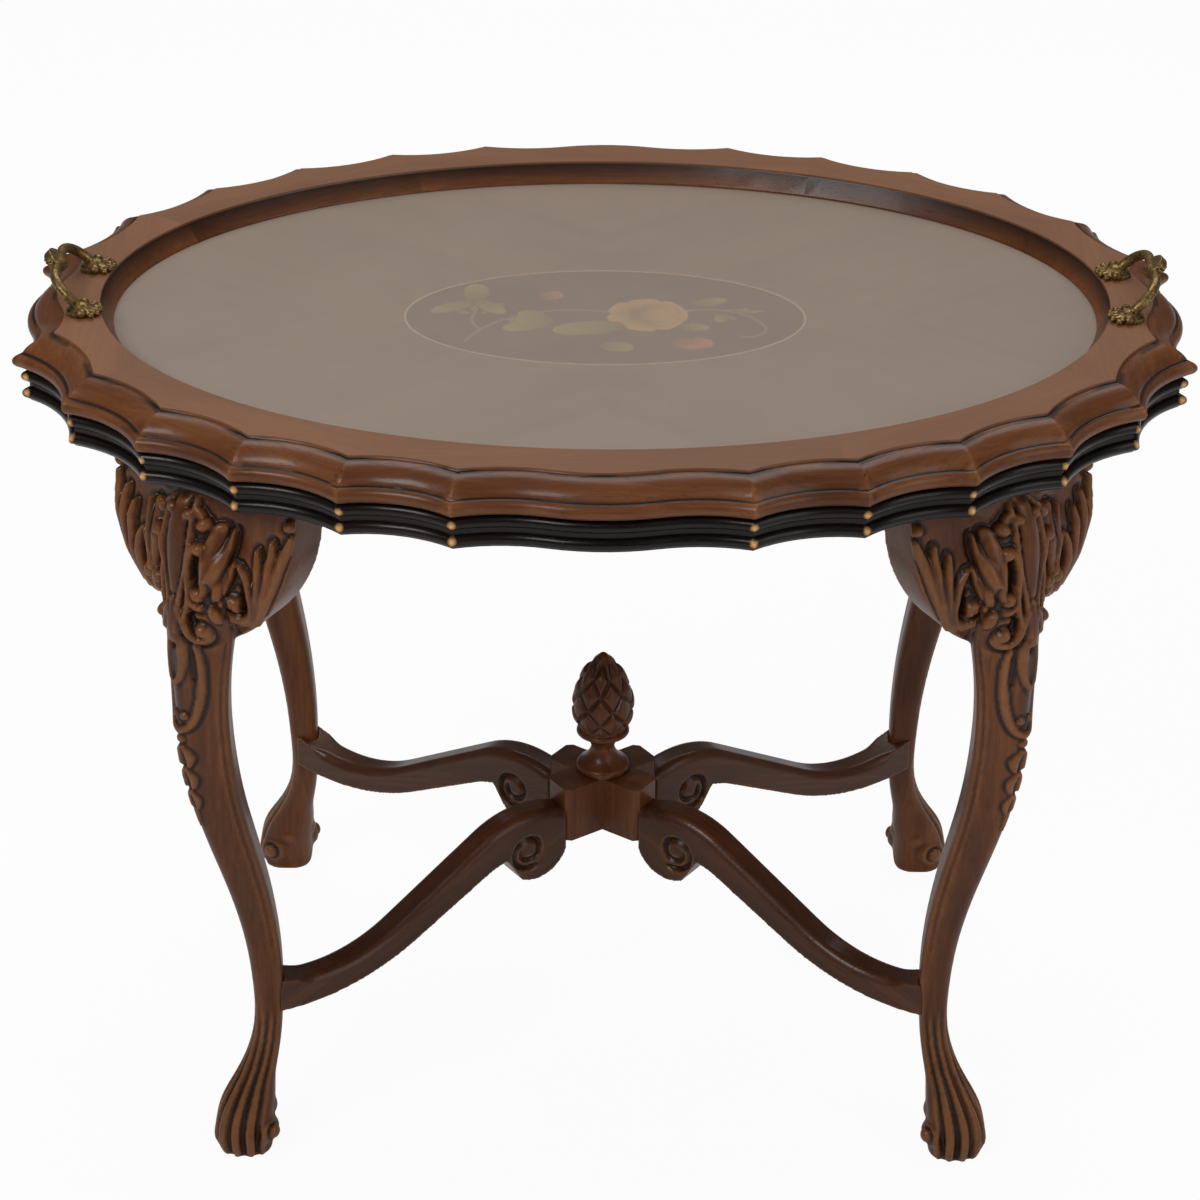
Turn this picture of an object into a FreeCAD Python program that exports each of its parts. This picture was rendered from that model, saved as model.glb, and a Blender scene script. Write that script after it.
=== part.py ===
import FreeCAD, Part
import math
import os
import Sketcher
from FreeCAD import Placement, Rotation, Vector

# Tray top tea table: an oval scalloped table on four carved cabriole legs, with crossed scroll
# stretchers and a pine cone finial, and a glazed marquetry tray that lifts off the top.
# Origin: on the floor under the middle of the table. +X along the oval, +Z up, millimetres.
# A reach is measured outward from the flat top's scalloped outline, an inset inward from its oval.

doc = FreeCAD.newDocument("tray_top_tea_table")

SIZES = {
    # oval outline of the flat top, through the tips of the scallops
    "flat_half_length": 393.6,
    "flat_half_width": 280.9,
    "front_lobe_width": 187.8,
    "front_lobe_crest": 4.6,
    "front_lobe_dip": 3.3,
    "end_lobe_width": 140,
    "end_lobe_crest": 6.5,
    "end_lobe_dip": 3.6,
    "scallop_depth": 6.4,
    # heights
    "underside_height": 554,
    "top_thickness": 24,
    "tray_depth": 26,
    # moulded edge of the table top
    "edge_ring_width": 94,
    "edge_bead_reach": 19,
    "edge_quirk_reach": 15,
    "edge_bead_height": 9,
    "edge_bead_margin": 1,
    # tray rim
    "rim_quirk_drop": 2.3,
    "rim_arris_reach": 17,
    "rim_arris_drop": 12.5,
    "rim_ovolo_fullness": 0.62,
    "rim_ovolo_share": 0.3,
    "rim_step_drop": 1.5,
    "rim_bead_reach": 22.4,
    "rim_bead_height": 11.2,
    "rim_flat_width": 36.6,
    "rim_lip_width": 8.7,
    "rim_lip_drop": 15,
    "rebate_width": 7.6,
    "lip_thickness": 2,
    # what lies in the tray
    "fit_clearance": 0.3,
    "glass_thickness": 3,
    "veneer_thickness": 0.8,
    "panel_thickness": 4.8,
    "stringing_half_length": 143,
    "stringing_half_width": 80,
    "stringing_width": 1.6,
    # foot and leg
    "foot_inset_length": 132.1,
    "foot_inset_width": 88.9,
    "dowel_radius": 7,
    "dowel_length": 40,
    "dowel_grip": 16,
    # knee wings
    "wing_start_out_length": 11,
    "wing_start_out_width": -8,
    "wing_length": 81,
    "wing_thickness": 30,
    "wing_long_turn": 30,
    "wing_end_turn": 43,
    "wing_tip_depth": 23,
    "wing_root_length": 22,
    "wing_root_depth": 122,
    "wing_curve_radius": 119,
    # stretcher arm
    "arm_thickness": 25,
    "arm_end_inset": 2,
    "arm_valley_reach": 250,
    "arm_valley_floor": 128,
    "arm_valley_radius": 120,
    "arm_belly_reach": 262,
    "arm_belly_bottom": 107,
    "arm_belly_radius": 190,
    "arm_crest_reach": 73.6,
    "arm_crest_top": 199,
    "arm_crest_radius": 75,
    "arm_throat_centre_reach": 86,
    "arm_throat_top": 166.3,
    "arm_throat_radius": 60,
    "arm_throat_reach": 95,
    "scroll_reach": 68,
    "scroll_height": 168.5,
    "scroll_radius": 28,
    "scroll_end_reach": 82,
    "scroll_seat_reach": 42,
    "volute_reach": 76,
    "volute_height": 167.5,
    "volute_radius": 16,
    "volute_width": 2.6,
    "volute_depth": 2,
    "tenon_thickness": 9,
    "tenon_height": 16,
    "tenon_length": 8,
    "tenon_centre_height": 120,
    "tenon_clearance": 0.15,
    "tenon_root": 24,
    "hub_tenon_height": 14,
    # hub and finial
    "hub_top": 209,
    "hub_height": 45,
    "hub_arm_width": 28,
    "hub_chamfer": 4,
    "finial_base_radius": 18.5,
    "finial_base_height": 7,
    "finial_base_curve": 4.2,
    "finial_foot_curve": 20,
    "finial_neck_radius": 8.7,
    "finial_neck_height": 20,
    "finial_neck_curve": 16,
    "finial_collar_radius": 20,
    "finial_collar_height": 33,
    "finial_collar_curve": 3.3,
    "cone_foot_radius": 16.5,
    "cone_foot_height": 37,
    "cone_foot_curve": 28,
    "cone_radius": 23.3,
    "cone_middle_height": 54,
    "cone_curve": 62.6,
    "cone_tip_radius": 1.6,
    "finial_height": 101,
    "finial_pin_radius": 6,
    "finial_pin_length": 22,
    # handles
    "handle_post_inset": 27.6,
    "handle_post_spacing": 75.4,
    "rosette_radius": 11,
    "rosette_height": 6,
    "rosette_step": 1.6,
    "rosette_crown_radius": 5,
    "handle_rise": 22,
    "handle_overhang": 20,
    "handle_bar_radius": 3.6,
    "handle_bend_radius": 20,
    "shell_radius": 9,
    "shell_thickness": 6,
    "screw_radius": 2,
    "screw_head_radius": 4,
    "screw_head_height": 3,
    "screw_recess": 9,
    "screw_grip": 2.5,
}
SCALLOPS_PER_QUARTER = 5

# Leg stations: height, offset outward along X and Y from the middle of the foot, width of the
# square section and the radius of its corners. Heights are hundredths of the underside height.
LEG_STATIONS = {
    "sole": (0.0, 0.0, 0.0, 37.0, 14.0),
    "paw": (3.0, 0.8, 0.5, 42.0, 17.0),
    "instep": (5.8, -0.7, -0.8, 41.0, 15.5),
    "heel": (8.7, -4.8, -4.5, 34.5, 12.5),
    "ankle_low": (12.0, -10.8, -10.0, 26.0, 9.0),
    "ankle": (16.0, -16.5, -15.8, 21.6, 7.0),
    "ankle_waist": (19.8, -18.6, -19.0, 20.4, 6.2),
    "ankle_high": (25.0, -18.8, -20.0, 22.0, 6.0),
    "shin": (31.3, -16.6, -18.0, 24.6, 7.0),
    "calf": (40.5, -8.6, -12.5, 28.9, 7.5),
    "thigh": (51.5, 5.0, -5.0, 33.2, 8.0),
    "thigh_high": (61.6, 12.7, 0.0, 35.4, 8.5),
    "upper_leg": (70.4, 14.5, 1.0, 38.2, 10.0),
    "under_knee": (78.3, 12.0, -2.5, 44.5, 13.5),
    "knee_low": (86.3, 7.0, -10.5, 52.5, 18.0),
    "knee": (92.4, 4.5, -17.0, 57.0, 21.0),
    "knee_high": (96.9, -2.5, -22.0, 57.0, 20.5),
    "knee_top": (100.0, -7.5, -26.0, 54.0, 20.0),
}
STATION_FIELDS = ("height", "out_length", "out_width", "side", "corner")
for station, numbers in LEG_STATIONS.items():
    for field, number in zip(STATION_FIELDS, numbers):
        SIZES[f"{station}_{field}"] = number

sheet = doc.addObject("Spreadsheet::Sheet", "Sizes")
for row, (alias, number) in enumerate(SIZES.items(), start=1):
    sheet.set(f"A{row}", alias.replace("_", " "))
    sheet.set(f"B{row}", str(number))
    sheet.setAlias(f"B{row}", alias)
doc.recompute()

UP = Vector(0, 0, 1)
ORIGIN = Vector(0, 0, 0)
BLANK_MARGIN = 34
HALF_TURN = 180
OVERCUT = 1
SWEEP_SPARE = 1.45
JOINT_RUN = 150
NODES = []


class Length:
    """A length together with the sheet expression that gives it, so that sums stay bound."""

    def __init__(self, expression, value):
        self.expression = expression
        self.value = value

    def __add__(self, other):
        other = as_length(other)
        return Length(f"({self.expression} + {other.expression})", self.value + other.value)

    def __sub__(self, other):
        other = as_length(other)
        return Length(f"({self.expression} - {other.expression})", self.value - other.value)

    def __mul__(self, factor):
        return Length(f"({self.expression} * {factor})", self.value * factor)

    def __neg__(self):
        return self * -1


def as_length(number):
    return number if isinstance(number, Length) else Length(str(number), float(number))


def L(alias):
    """A driving dimension as a bound length."""
    return Length(f"Sizes.{alias}", float(sheet.get(alias)))


def size(alias):
    """A driving dimension as a plain number."""
    return float(sheet.get(alias))


def bind(thing, **lengths):
    """Binds properties to the sheet. A name such as Placement_Base_z means Placement.Base.z."""
    for name, length in lengths.items():
        thing.setExpression(name.replace("_", "."), as_length(length).expression)
    return thing


def keep(thing, label):
    """Marks a document object as one finished piece and names it."""
    thing.Label = label
    NODES.append(thing)
    return thing


def feature(label, shape):
    """A piece whose shape is worked out from the sheet by code."""
    thing = doc.addObject("Part::Feature", label)
    thing.Shape = shape
    return keep(thing, label)


TABLE_TOP = L("underside_height") + L("top_thickness")
FLAT = TABLE_TOP + L("tray_depth")
GLASS_TOP = FLAT - L("rim_lip_drop")
GLASS_BOTTOM = GLASS_TOP - L("glass_thickness")
VENEER_BOTTOM = GLASS_BOTTOM - L("veneer_thickness")
PANEL_BOTTOM = VENEER_BOTTOM - L("panel_thickness")
HUB_BOTTOM = L("hub_top") - L("hub_height")
POST_REACH = L("flat_half_length") - L("handle_post_inset")
FOOT_X = L("flat_half_length") - L("foot_inset_length")
FOOT_Y = L("flat_half_width") - L("foot_inset_width")


# ---------------------------------------------------------------------------------------------
# Sketches
# ---------------------------------------------------------------------------------------------
def new_body(name):
    return doc.addObject("PartDesign::Body", name)


def sketch_on(body, name, role):
    """An empty sketch on one of the body's own origin planes."""
    sketch = body.newObject("Sketcher::SketchObject", name)
    plane = [item for item in body.Origin.OriginFeatures if item.Role == role][0]
    sketch.AttachmentSupport = [(plane, "")]
    sketch.MapMode = "FlatFace"
    return sketch


def dimension(sketch, kind, *arguments):
    """Adds a dimension whose last argument is a Length, and binds it."""
    *places, length = arguments
    number = sketch.addConstraint(Sketcher.Constraint(kind, *places, length.value))
    sketch.setExpression(f"Constraints[{number}]", length.expression)


def pin(sketch, edge, end, x, y):
    """Holds one end of an edge at bound coordinates."""
    for kind, length in (("DistanceX", x), ("DistanceY", y)):
        dimension(sketch, kind, -1, 1, edge, end, as_length(length))


def outline(sketch, vertices):
    """A closed outline of lines and arcs. Each vertex is (x, y) or (x, y, radius), where the
    radius bends the edge that leaves it: positive turns it anticlockwise."""
    points = [Vector(as_length(v[0]).value, as_length(v[1]).value, 0) for v in vertices]
    for index, vertex in enumerate(vertices):
        start, end = points[index], points[(index + 1) % len(points)]
        if len(vertex) == 2:
            sketch.addGeometry(Part.LineSegment(start, end), False)
            continue
        radius = as_length(vertex[2])
        half = (end - start) / 2
        side = Vector(-half.y, half.x, 0).normalize() * math.copysign(1, radius.value)
        rise = math.sqrt(max(radius.value**2 - half.Length**2, 0))
        centre = start + half + side * rise
        ends = [math.atan2(p.y - centre.y, p.x - centre.x) for p in (start, end)]
        if radius.value < 0:
            ends.reverse()
        circle = Part.Circle(centre, UP, abs(radius.value))
        sketch.addGeometry(Part.ArcOfCircle(circle, *ends), False)
    first = [2 if len(v) == 3 and as_length(v[2]).value < 0 else 1 for v in vertices]
    count = len(vertices)
    for index in range(count):
        following = (index + 1) % count
        sketch.addConstraint(Sketcher.Constraint("Coincident", index, 3 - first[index],
                                                 following, first[following]))
    for index, vertex in enumerate(vertices):
        pin(sketch, index, first[index], vertex[0], vertex[1])
        if len(vertex) == 3:
            radius = as_length(vertex[2])
            dimension(sketch, "Radius", index, radius if radius.value > 0 else -radius)


def rounded_square(sketch, side, corner):
    """A square about the sketch's origin with rounded corners."""
    half, flat, radius = side.value / 2, side.value / 2 - corner.value, corner.value
    for quarter in range(4):
        turn = Rotation(UP, 90 * quarter)
        sketch.addGeometry(Part.LineSegment(turn.multVec(Vector(half, -flat, 0)),
                                            turn.multVec(Vector(half, flat, 0))), False)
        centre = turn.multVec(Vector(flat, flat, 0))
        start = math.radians(90 * quarter)
        sketch.addGeometry(Part.ArcOfCircle(Part.Circle(centre, UP, radius), start,
                                            start + math.pi / 2), False)
    for quarter in range(4):
        line, arc, following = 2 * quarter, 2 * quarter + 1, (2 * quarter + 2) % 8
        sketch.addConstraint(Sketcher.Constraint("Tangent", line, 2, arc, 1))
        sketch.addConstraint(Sketcher.Constraint("Tangent", arc, 2, following, 1))
        sketch.addConstraint(Sketcher.Constraint("Vertical" if quarter % 2 == 0 else "Horizontal", line))
    for quarter in (1, 2, 3):
        sketch.addConstraint(Sketcher.Constraint("Equal", 1, 2 * quarter + 1))
    dimension(sketch, "Radius", 1, corner)
    dimension(sketch, "DistanceX", -1, 1, 0, 1, side * 0.5)
    dimension(sketch, "DistanceX", 4, 1, -1, 1, side * 0.5)
    dimension(sketch, "DistanceY", -1, 1, 2, 1, side * 0.5)
    dimension(sketch, "DistanceY", 6, 1, -1, 1, side * 0.5)


def pad(body, sketch, length, both_ways=False):
    """Pads a sketch along its normal, or half to each side of its plane."""
    result = body.newObject("PartDesign::Pad", sketch.Name + "_pad")
    result.Profile = sketch
    result.Midplane = both_ways
    bind(result, Length=length)
    body.Tip = result
    return result


def mirrored(source, name, normal):
    copy = doc.addObject("Part::Mirroring", name)
    copy.Source = source
    copy.Normal = normal
    return copy


def mirrored_to_quarters(source, stem, names):
    """Keeps a piece made in the back right quarter, and its mirror images in the other three.
    names gives the labels for back right, front right, back left and front left."""
    keep(source, names[0])
    keep(mirrored(source, stem + "_fr", Vector(0, 1, 0)), names[1])
    left = keep(mirrored(source, stem + "_bl", Vector(1, 0, 0)), names[2])
    keep(mirrored(left, stem + "_fl", Vector(0, 1, 0)), names[3])


def boolean(kind, name, base, tool):
    thing = doc.addObject("Part::" + kind, name)
    thing.Base = base
    thing.Tool = tool
    return thing


def box(name, length, width, height, x, y, z, turn=0):
    """A box whose own X runs from x, centred across on y and upward on z, in a frame turned
    about the vertical axis."""
    block = doc.addObject("Part::Box", name)
    bind(block, Length=length, Width=width, Height=height)
    angle = math.radians(turn)
    across = y - as_length(width) * 0.5
    block.Placement = Placement(ORIGIN, Rotation(UP, turn))
    bind(block,
         Placement_Base_x=x * math.cos(angle) - across * math.sin(angle),
         Placement_Base_y=x * math.sin(angle) + across * math.cos(angle),
         Placement_Base_z=z - as_length(height) * 0.5)
    return block


def rod(name, radius, height, x, y, z):
    """An upright cylinder standing on height z."""
    cylinder = doc.addObject("Part::Cylinder", name)
    bind(cylinder, Radius=radius, Height=height, Placement_Base_x=x, Placement_Base_y=y,
         Placement_Base_z=z)
    return cylinder


# ---------------------------------------------------------------------------------------------
# Scalloped outline, worked in code
# ---------------------------------------------------------------------------------------------
def on_oval(angle):
    return Vector(size("flat_half_length") * math.cos(angle), size("flat_half_width") * math.sin(angle), 0)


def scallop_tips():
    """The tips of one quarter, from the long side's lobe to the end lobe, at equal steps of arc."""
    first = math.acos(size("front_lobe_width") / 2 / size("flat_half_length"))
    last = math.asin(size("end_lobe_width") / 2 / size("flat_half_width"))
    count = 100 * SCALLOPS_PER_QUARTER
    angles = [first + (last - first) * k / count for k in range(count + 1)]
    run = [0.0]
    for low, high in zip(angles, angles[1:]):
        run.append(run[-1] + on_oval(low).distanceToPoint(on_oval(high)))
    tips = []
    for k in range(SCALLOPS_PER_QUARTER + 1):
        target = run[-1] * k / SCALLOPS_PER_QUARTER
        nearest = min(range(count + 1), key=lambda step: abs(run[step] - target))
        tips.append(on_oval(angles[nearest]))
    return tips


TIPS = scallop_tips()


def scallop_arc(start, end):
    """Centre and radius of the hollow between two tips; the centre lies outside the oval."""
    chord = start.distanceToPoint(end)
    depth = size("scallop_depth")
    radius = (chord * chord / 4 + depth * depth) / (2 * depth)
    middle = (start + end) / 2
    outward = Vector(end.y - start.y, start.x - end.x, 0).normalize()
    if outward.dot(middle) < 0:
        outward = -outward
    return middle + outward * (radius - depth), radius


def lobe_arcs(half_width, crest, dip):
    """A lobe bulges by crest beyond its tips and first dips by dip inside them, all with one
    radius. Returns the radius and the distance of the hollow's centre from the lobe's middle."""
    rise = crest + dip
    low, high = 1.0, 5000.0
    for _ in range(60):
        radius = (low + high) / 2
        hollow = half_width - math.sqrt(max(2 * radius * dip - dip * dip, 0))
        if hollow * hollow + rise * rise > 4 * radius * rise:
            low = radius
        else:
            high = radius
    return radius, hollow


def moulding_face(section, place, far):
    """The face between a moulding's section and a far vertical line. The section lists edges as
    (reach, height) points: two for a line, three for an arc. place turns reach into radius."""
    edges = []
    for points in section:
        places = [Vector(place(reach), 0, height) for reach, height in points]
        kind = Part.LineSegment if len(places) == 2 else Part.Arc
        edges.append(kind(*places).toShape())
    corners = [edges[-1].Vertexes[-1].Point, Vector(far, 0, section[-1][-1][1]),
               Vector(far, 0, section[0][0][1]), edges[0].Vertexes[0].Point]
    for start, end in zip(corners, corners[1:]):
        edges.append(Part.LineSegment(start, end).toShape())
    return Part.Face(Part.Wire(edges))


def turned_cutter(section, centre, radius, hollow, middle, half_sweep):
    """A cutter turned about a vertical axis, either way from the direction middle in degrees.
    A hollow's axis lies outside the wood and a bulge's inside it."""
    if hollow:
        face = moulding_face(section, lambda reach: radius - reach, max(radius - 4 * BLANK_MARGIN, 2))
    else:
        face = moulding_face(section, lambda reach: radius + reach, radius + 4 * BLANK_MARGIN)
    solid = face.revolve(ORIGIN, UP, 2 * half_sweep)
    solid.Placement = Placement(centre, Rotation(UP, middle - half_sweep))
    return solid


def heading(vector):
    return math.degrees(math.atan2(vector.y, vector.x))


def scallop_cutter(section, start, end, flip=1):
    """The cutter of one scallop; flip -1 mirrors it in X, and flip 0 in Y."""
    centre, radius = scallop_arc(start, end)
    middle = (start + end) / 2
    if flip == -1:
        centre.x, middle.x = -centre.x, -middle.x
    if flip == 0:
        centre.y, middle.y = -centre.y, -middle.y
    half_sweep = SWEEP_SPARE * math.degrees(math.asin(start.distanceToPoint(end) / 2 / radius))
    half_sweep += math.degrees(BLANK_MARGIN / radius)
    return turned_cutter(section, centre, radius, True, heading(middle - centre), half_sweep)


def lobe_cutters(section, along, across, tip, crest, dip):
    """The cutters of one lobe: its bulge and the hollow on each side. across points out of the
    oval, along runs beside it, and tip is the lobe's tip on the along side."""
    level = tip.dot(across)
    radius, hollow = lobe_arcs(tip.dot(along), crest, dip)
    bulge = across * (level + crest - radius)
    spread = math.degrees(math.asin(hollow / (2 * radius)))
    cutters = [turned_cutter(section, bulge, radius, False, heading(across), spread)]
    tail = math.degrees(2 * BLANK_MARGIN / radius)
    for side in (1, -1):
        centre = along * (hollow * side) + across * (level - dip + radius)
        towards = heading(bulge - centre)
        outer = heading(along * side - across * 2)
        turn = math.copysign(1, (outer - towards + HALF_TURN) % (2 * HALF_TURN) - HALF_TURN)
        half_sweep = spread + tail / 2
        cutters.append(turned_cutter(section, centre, radius, True, towards + turn * half_sweep,
                                     half_sweep))
    return cutters


def oval_wire(inset, height):
    """The flat's oval, inset all round, as a wire at a height."""
    oval = Part.Ellipse(ORIGIN, size("flat_half_length") - inset, size("flat_half_width") - inset)
    wire = Part.Wire(oval.toShape())
    wire.Placement = Placement(Vector(0, 0, height), Rotation())
    return wire


def oval_plate(inset, bottom, top):
    return Part.Face(oval_wire(inset, bottom)).extrude(Vector(0, 0, top - bottom))


def joint_line(index):
    """A glue joint at a tip, square to the edge: an inner and an outer point."""
    tip = TIPS[index]
    centres = [scallop_arc(TIPS[k], TIPS[k + 1])[0] for k in (index - 1, index)]
    outward = ((centres[0] + centres[1]) / 2 - tip).normalize()
    return tip - outward * JOINT_RUN, tip + outward * JOINT_RUN


def wedge(lines, bottom, top):
    """The prism between two joint lines."""
    (inner_a, outer_a), (inner_b, outer_b) = lines
    wire = Part.makePolygon([inner_a, outer_a, outer_b, inner_b, inner_a])
    wire.Placement = Placement(Vector(0, 0, bottom), Rotation())
    return Part.Face(wire).extrude(Vector(0, 0, top - bottom))


def flipped(line, sign_x, sign_y):
    return [Vector(point.x * sign_x, point.y * sign_y, 0) for point in line]


LONG_JOINT = joint_line(1)
END_JOINT = joint_line(SCALLOPS_PER_QUARTER - 1)


def moulded_ring(section, bottom, top, hollows):
    """A scalloped ring of eight glued segments: back, right end and back right corner are cut to
    the section, then mirrored. hollows are cut out of every segment."""
    blank = oval_plate(-BLANK_MARGIN, bottom, top).cut(hollows)
    back = blank.common(wedge([LONG_JOINT, flipped(LONG_JOINT, -1, 1)], bottom, top))
    end = blank.common(wedge([END_JOINT, flipped(END_JOINT, 1, -1)], bottom, top))
    corner = blank.common(wedge([LONG_JOINT, END_JOINT], bottom, top))
    tools = {
        "back": [scallop_cutter(section, TIPS[0], TIPS[1]), scallop_cutter(section, TIPS[0], TIPS[1], -1)]
        + lobe_cutters(section, Vector(1, 0, 0), Vector(0, 1, 0), TIPS[0],
                       size("front_lobe_crest"), size("front_lobe_dip")),
        "end": [scallop_cutter(section, TIPS[-2], TIPS[-1]), scallop_cutter(section, TIPS[-2], TIPS[-1], 0)]
        + lobe_cutters(section, Vector(0, 1, 0), Vector(1, 0, 0), TIPS[-1],
                       size("end_lobe_crest"), size("end_lobe_dip")),
        "corner": [scallop_cutter(section, TIPS[k], TIPS[k + 1]) for k in range(1, SCALLOPS_PER_QUARTER - 1)],
    }
    shaped = {}
    for name, piece in (("back", back), ("end", end), ("corner", corner)):
        for tool in tools[name]:
            piece = piece.cut(tool)
        shaped[name] = piece
    in_x, in_y = Vector(1, 0, 0), Vector(0, 1, 0)
    corner = shaped["corner"]
    pieces = [shaped["back"], shaped["back"].mirror(ORIGIN, in_y), shaped["end"],
              shaped["end"].mirror(ORIGIN, in_x), corner, corner.mirror(ORIGIN, in_x),
              corner.mirror(ORIGIN, in_y), corner.mirror(ORIGIN, in_x).mirror(ORIGIN, in_y)]
    solids = []
    for piece in pieces:
        solids += piece.Solids
    return Part.makeCompound(solids)


# ---------------------------------------------------------------------------------------------
# Tray rim
# ---------------------------------------------------------------------------------------------
def rim_section():
    """The tray edge: a small quirk, an ovolo that runs out to a sharp arris, a step and a bead."""
    top, bottom = FLAT.value, TABLE_TOP.value
    quirk = top - size("rim_quirk_drop")
    reach = size("rim_arris_reach")
    belly_reach = reach * size("rim_ovolo_fullness")
    arris = top - size("rim_arris_drop")
    step = arris - size("rim_step_drop")
    bead = size("rim_bead_reach")
    bead_height = size("rim_bead_height")
    fall = quirk - arris
    return [
        ((0, top + OVERCUT), (0, quirk)),
        ((0, quirk), (belly_reach, quirk - fall * size("rim_ovolo_share")), (reach, arris)),
        ((reach, arris), (reach, step)),
        ((reach, step), (bead, step - bead_height / 2), (reach, step - bead_height)),
        ((reach, step - bead_height), (reach, bottom - OVERCUT)),
    ]


def rim_hollows():
    """The well of the rim: quirk, sloping ovolo and lip over the glass; the rebate below it."""
    top, bottom = FLAT.value, TABLE_TOP.value
    flat = size("rim_flat_width")
    lip = flat + size("rim_lip_width")
    quirk = top - size("rim_quirk_drop")
    under_lip = GLASS_TOP.value
    over_lip = under_lip + size("lip_thickness")
    slope = Part.makeLoft([oval_wire(flat, quirk), oval_wire(lip, over_lip)], True, True)
    return [
        oval_plate(flat, quirk, top + OVERCUT),
        slope,
        oval_plate(lip, under_lip - OVERCUT, over_lip),
        oval_plate(lip - size("rebate_width"), PANEL_BOTTOM.value, under_lip),
        oval_plate(lip, bottom - OVERCUT, PANEL_BOTTOM.value),
    ]


def handle_posts():
    """Where the four handle posts stand."""
    reach, half = POST_REACH.value, size("handle_post_spacing") / 2
    return [(x, y) for x in (-reach, reach) for y in (-half, half)]


def upright(radius, bottom, top, x, y):
    return Part.makeCylinder(radius, top - bottom, Vector(x, y, bottom))


def screw_holes():
    bottom, top = TABLE_TOP.value, FLAT.value
    gap = size("fit_clearance")
    holes = []
    sunk = bottom + size("screw_recess")
    for x, y in handle_posts():
        holes.append(upright(size("screw_radius") + gap, bottom - OVERCUT, top + OVERCUT, x, y))
        holes.append(upright(size("screw_head_radius") + gap, bottom - OVERCUT, sunk, x, y))
    return holes


feature("tray_rim", moulded_ring(rim_section(), TABLE_TOP.value, FLAT.value, rim_hollows() + screw_holes()))


# ---------------------------------------------------------------------------------------------
# Glass, panel and marquetry
# ---------------------------------------------------------------------------------------------
def oval(name, half_length, half_width, bottom, thickness):
    """An oval plate standing on a height."""
    curve = doc.addObject("Part::Ellipse", name + "_curve")
    bind(curve, MajorRadius=half_length, MinorRadius=half_width, Placement_Base_z=bottom)
    plate = doc.addObject("Part::Extrusion", name)
    plate.Base = curve
    plate.DirMode = "Custom"
    plate.Dir = UP
    plate.Solid = True
    bind(plate, LengthFwd=thickness)
    return plate


REBATE_INSET = L("rim_flat_width") + L("rim_lip_width") - L("rebate_width") + L("fit_clearance")
IN_REBATE = (L("flat_half_length") - REBATE_INSET, L("flat_half_width") - REBATE_INSET)
keep(oval("tray_glass", *IN_REBATE, GLASS_BOTTOM, L("glass_thickness")), "tray_glass")
keep(oval("tray_panel", *IN_REBATE, PANEL_BOTTOM, L("panel_thickness")), "tray_panel")

STRING = (L("stringing_half_length"), L("stringing_half_width"))
GROUND = tuple(half - L("stringing_width") for half in STRING)
veneer_sheet = oval("veneer_sheet", *IN_REBATE, VENEER_BOTTOM, L("veneer_thickness"))
string_oval = oval("string_oval", *STRING, VENEER_BOTTOM, L("veneer_thickness"))
ground_oval = oval("ground_oval", *GROUND, VENEER_BOTTOM, L("veneer_thickness"))
veneer_ring = boolean("Cut", "veneer_ring", veneer_sheet, string_oval)
keep(boolean("Cut", "inlay_stringing", string_oval, ground_oval), "inlay_stringing")
quarter_block = box("quarter_block", L("flat_half_length"), L("flat_half_width"), L("veneer_thickness") * 4,
                    as_length(0), L("flat_half_width") * 0.5, VENEER_BOTTOM)
mirrored_to_quarters(boolean("Common", "veneer_quarter", veneer_ring, quarter_block), "veneer",
                     ("veneer_back_right", "veneer_front_right", "veneer_back_left", "veneer_front_left"))

# Marquetry spray, in shares of the stringing's half length: petals about a middle, leaves as
# lenses between two points with a fatness, stems as bands through three points.
BLOOMS = (
    (0.205, 0.02, 0.155, 9),
    (0.42, -0.31, 0.075, 7),
    (-0.275, 0.24, 0.052, 5),
    (-0.15, 0.24, 0.055, 5),
)
LEAVES = (
    (-0.50, -0.02, -0.26, -0.12, 0.40),
    (-0.27, -0.18, 0.09, -0.13, 0.30),
    (-0.03, -0.37, 0.14, -0.36, 0.35),
    (-0.66, 0.02, -0.80, 0.12, 0.34),
    (-0.65, 0.04, -0.66, 0.34, 0.32),
    (-0.62, 0.02, -0.50, 0.17, 0.34),
    (0.43, 0.16, 0.60, 0.20, 0.34),
    (0.36, -0.12, 0.51, -0.11, 0.34),
    (0.56, 0.05, 0.66, -0.03, 0.40),
    (0.69, 0.04, 0.80, 0.09, 0.36),
)
STEMS = (
    (-0.69, -0.31, -0.50, -0.04, 0.01, 0.05),
    (-0.62, -0.15, -0.66, -0.02, -0.64, 0.05),
    (0.38, 0.06, 0.62, 0.07, 0.79, -0.10),
    (0.79, -0.10, 0.77, -0.20, 0.66, -0.22),
    (0.60, 0.07, 0.66, 0.09, 0.72, 0.03),
)
STEM_HALF_WIDTH = 0.0075
PETAL_NOTCH = 0.84


def flat_piece(wire):
    """A veneer piece cut to an outline at the veneer's level."""
    wire.Placement = Placement(Vector(0, 0, VENEER_BOTTOM.value), Rotation())
    return Part.Face(wire).extrude(Vector(0, 0, size("veneer_thickness")))


def petal_outline(x, y, radius, petals):
    """A round bloom whose edge is a ring of petals."""
    hollows = []
    notch, petals = radius * PETAL_NOTCH, int(petals)
    for k in range(petals):
        angle = 2 * math.pi * k / petals
        hollows.append(Vector(x + notch * math.cos(angle), y + notch * math.sin(angle), 0))
    edges = []
    for k, start in enumerate(hollows):
        angle = 2 * math.pi * (k + 0.5) / petals
        crest = Vector(x + radius * math.cos(angle), y + radius * math.sin(angle), 0)
        edges.append(Part.Arc(start, crest, hollows[(k + 1) % petals]).toShape())
    return Part.Wire(edges)


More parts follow.
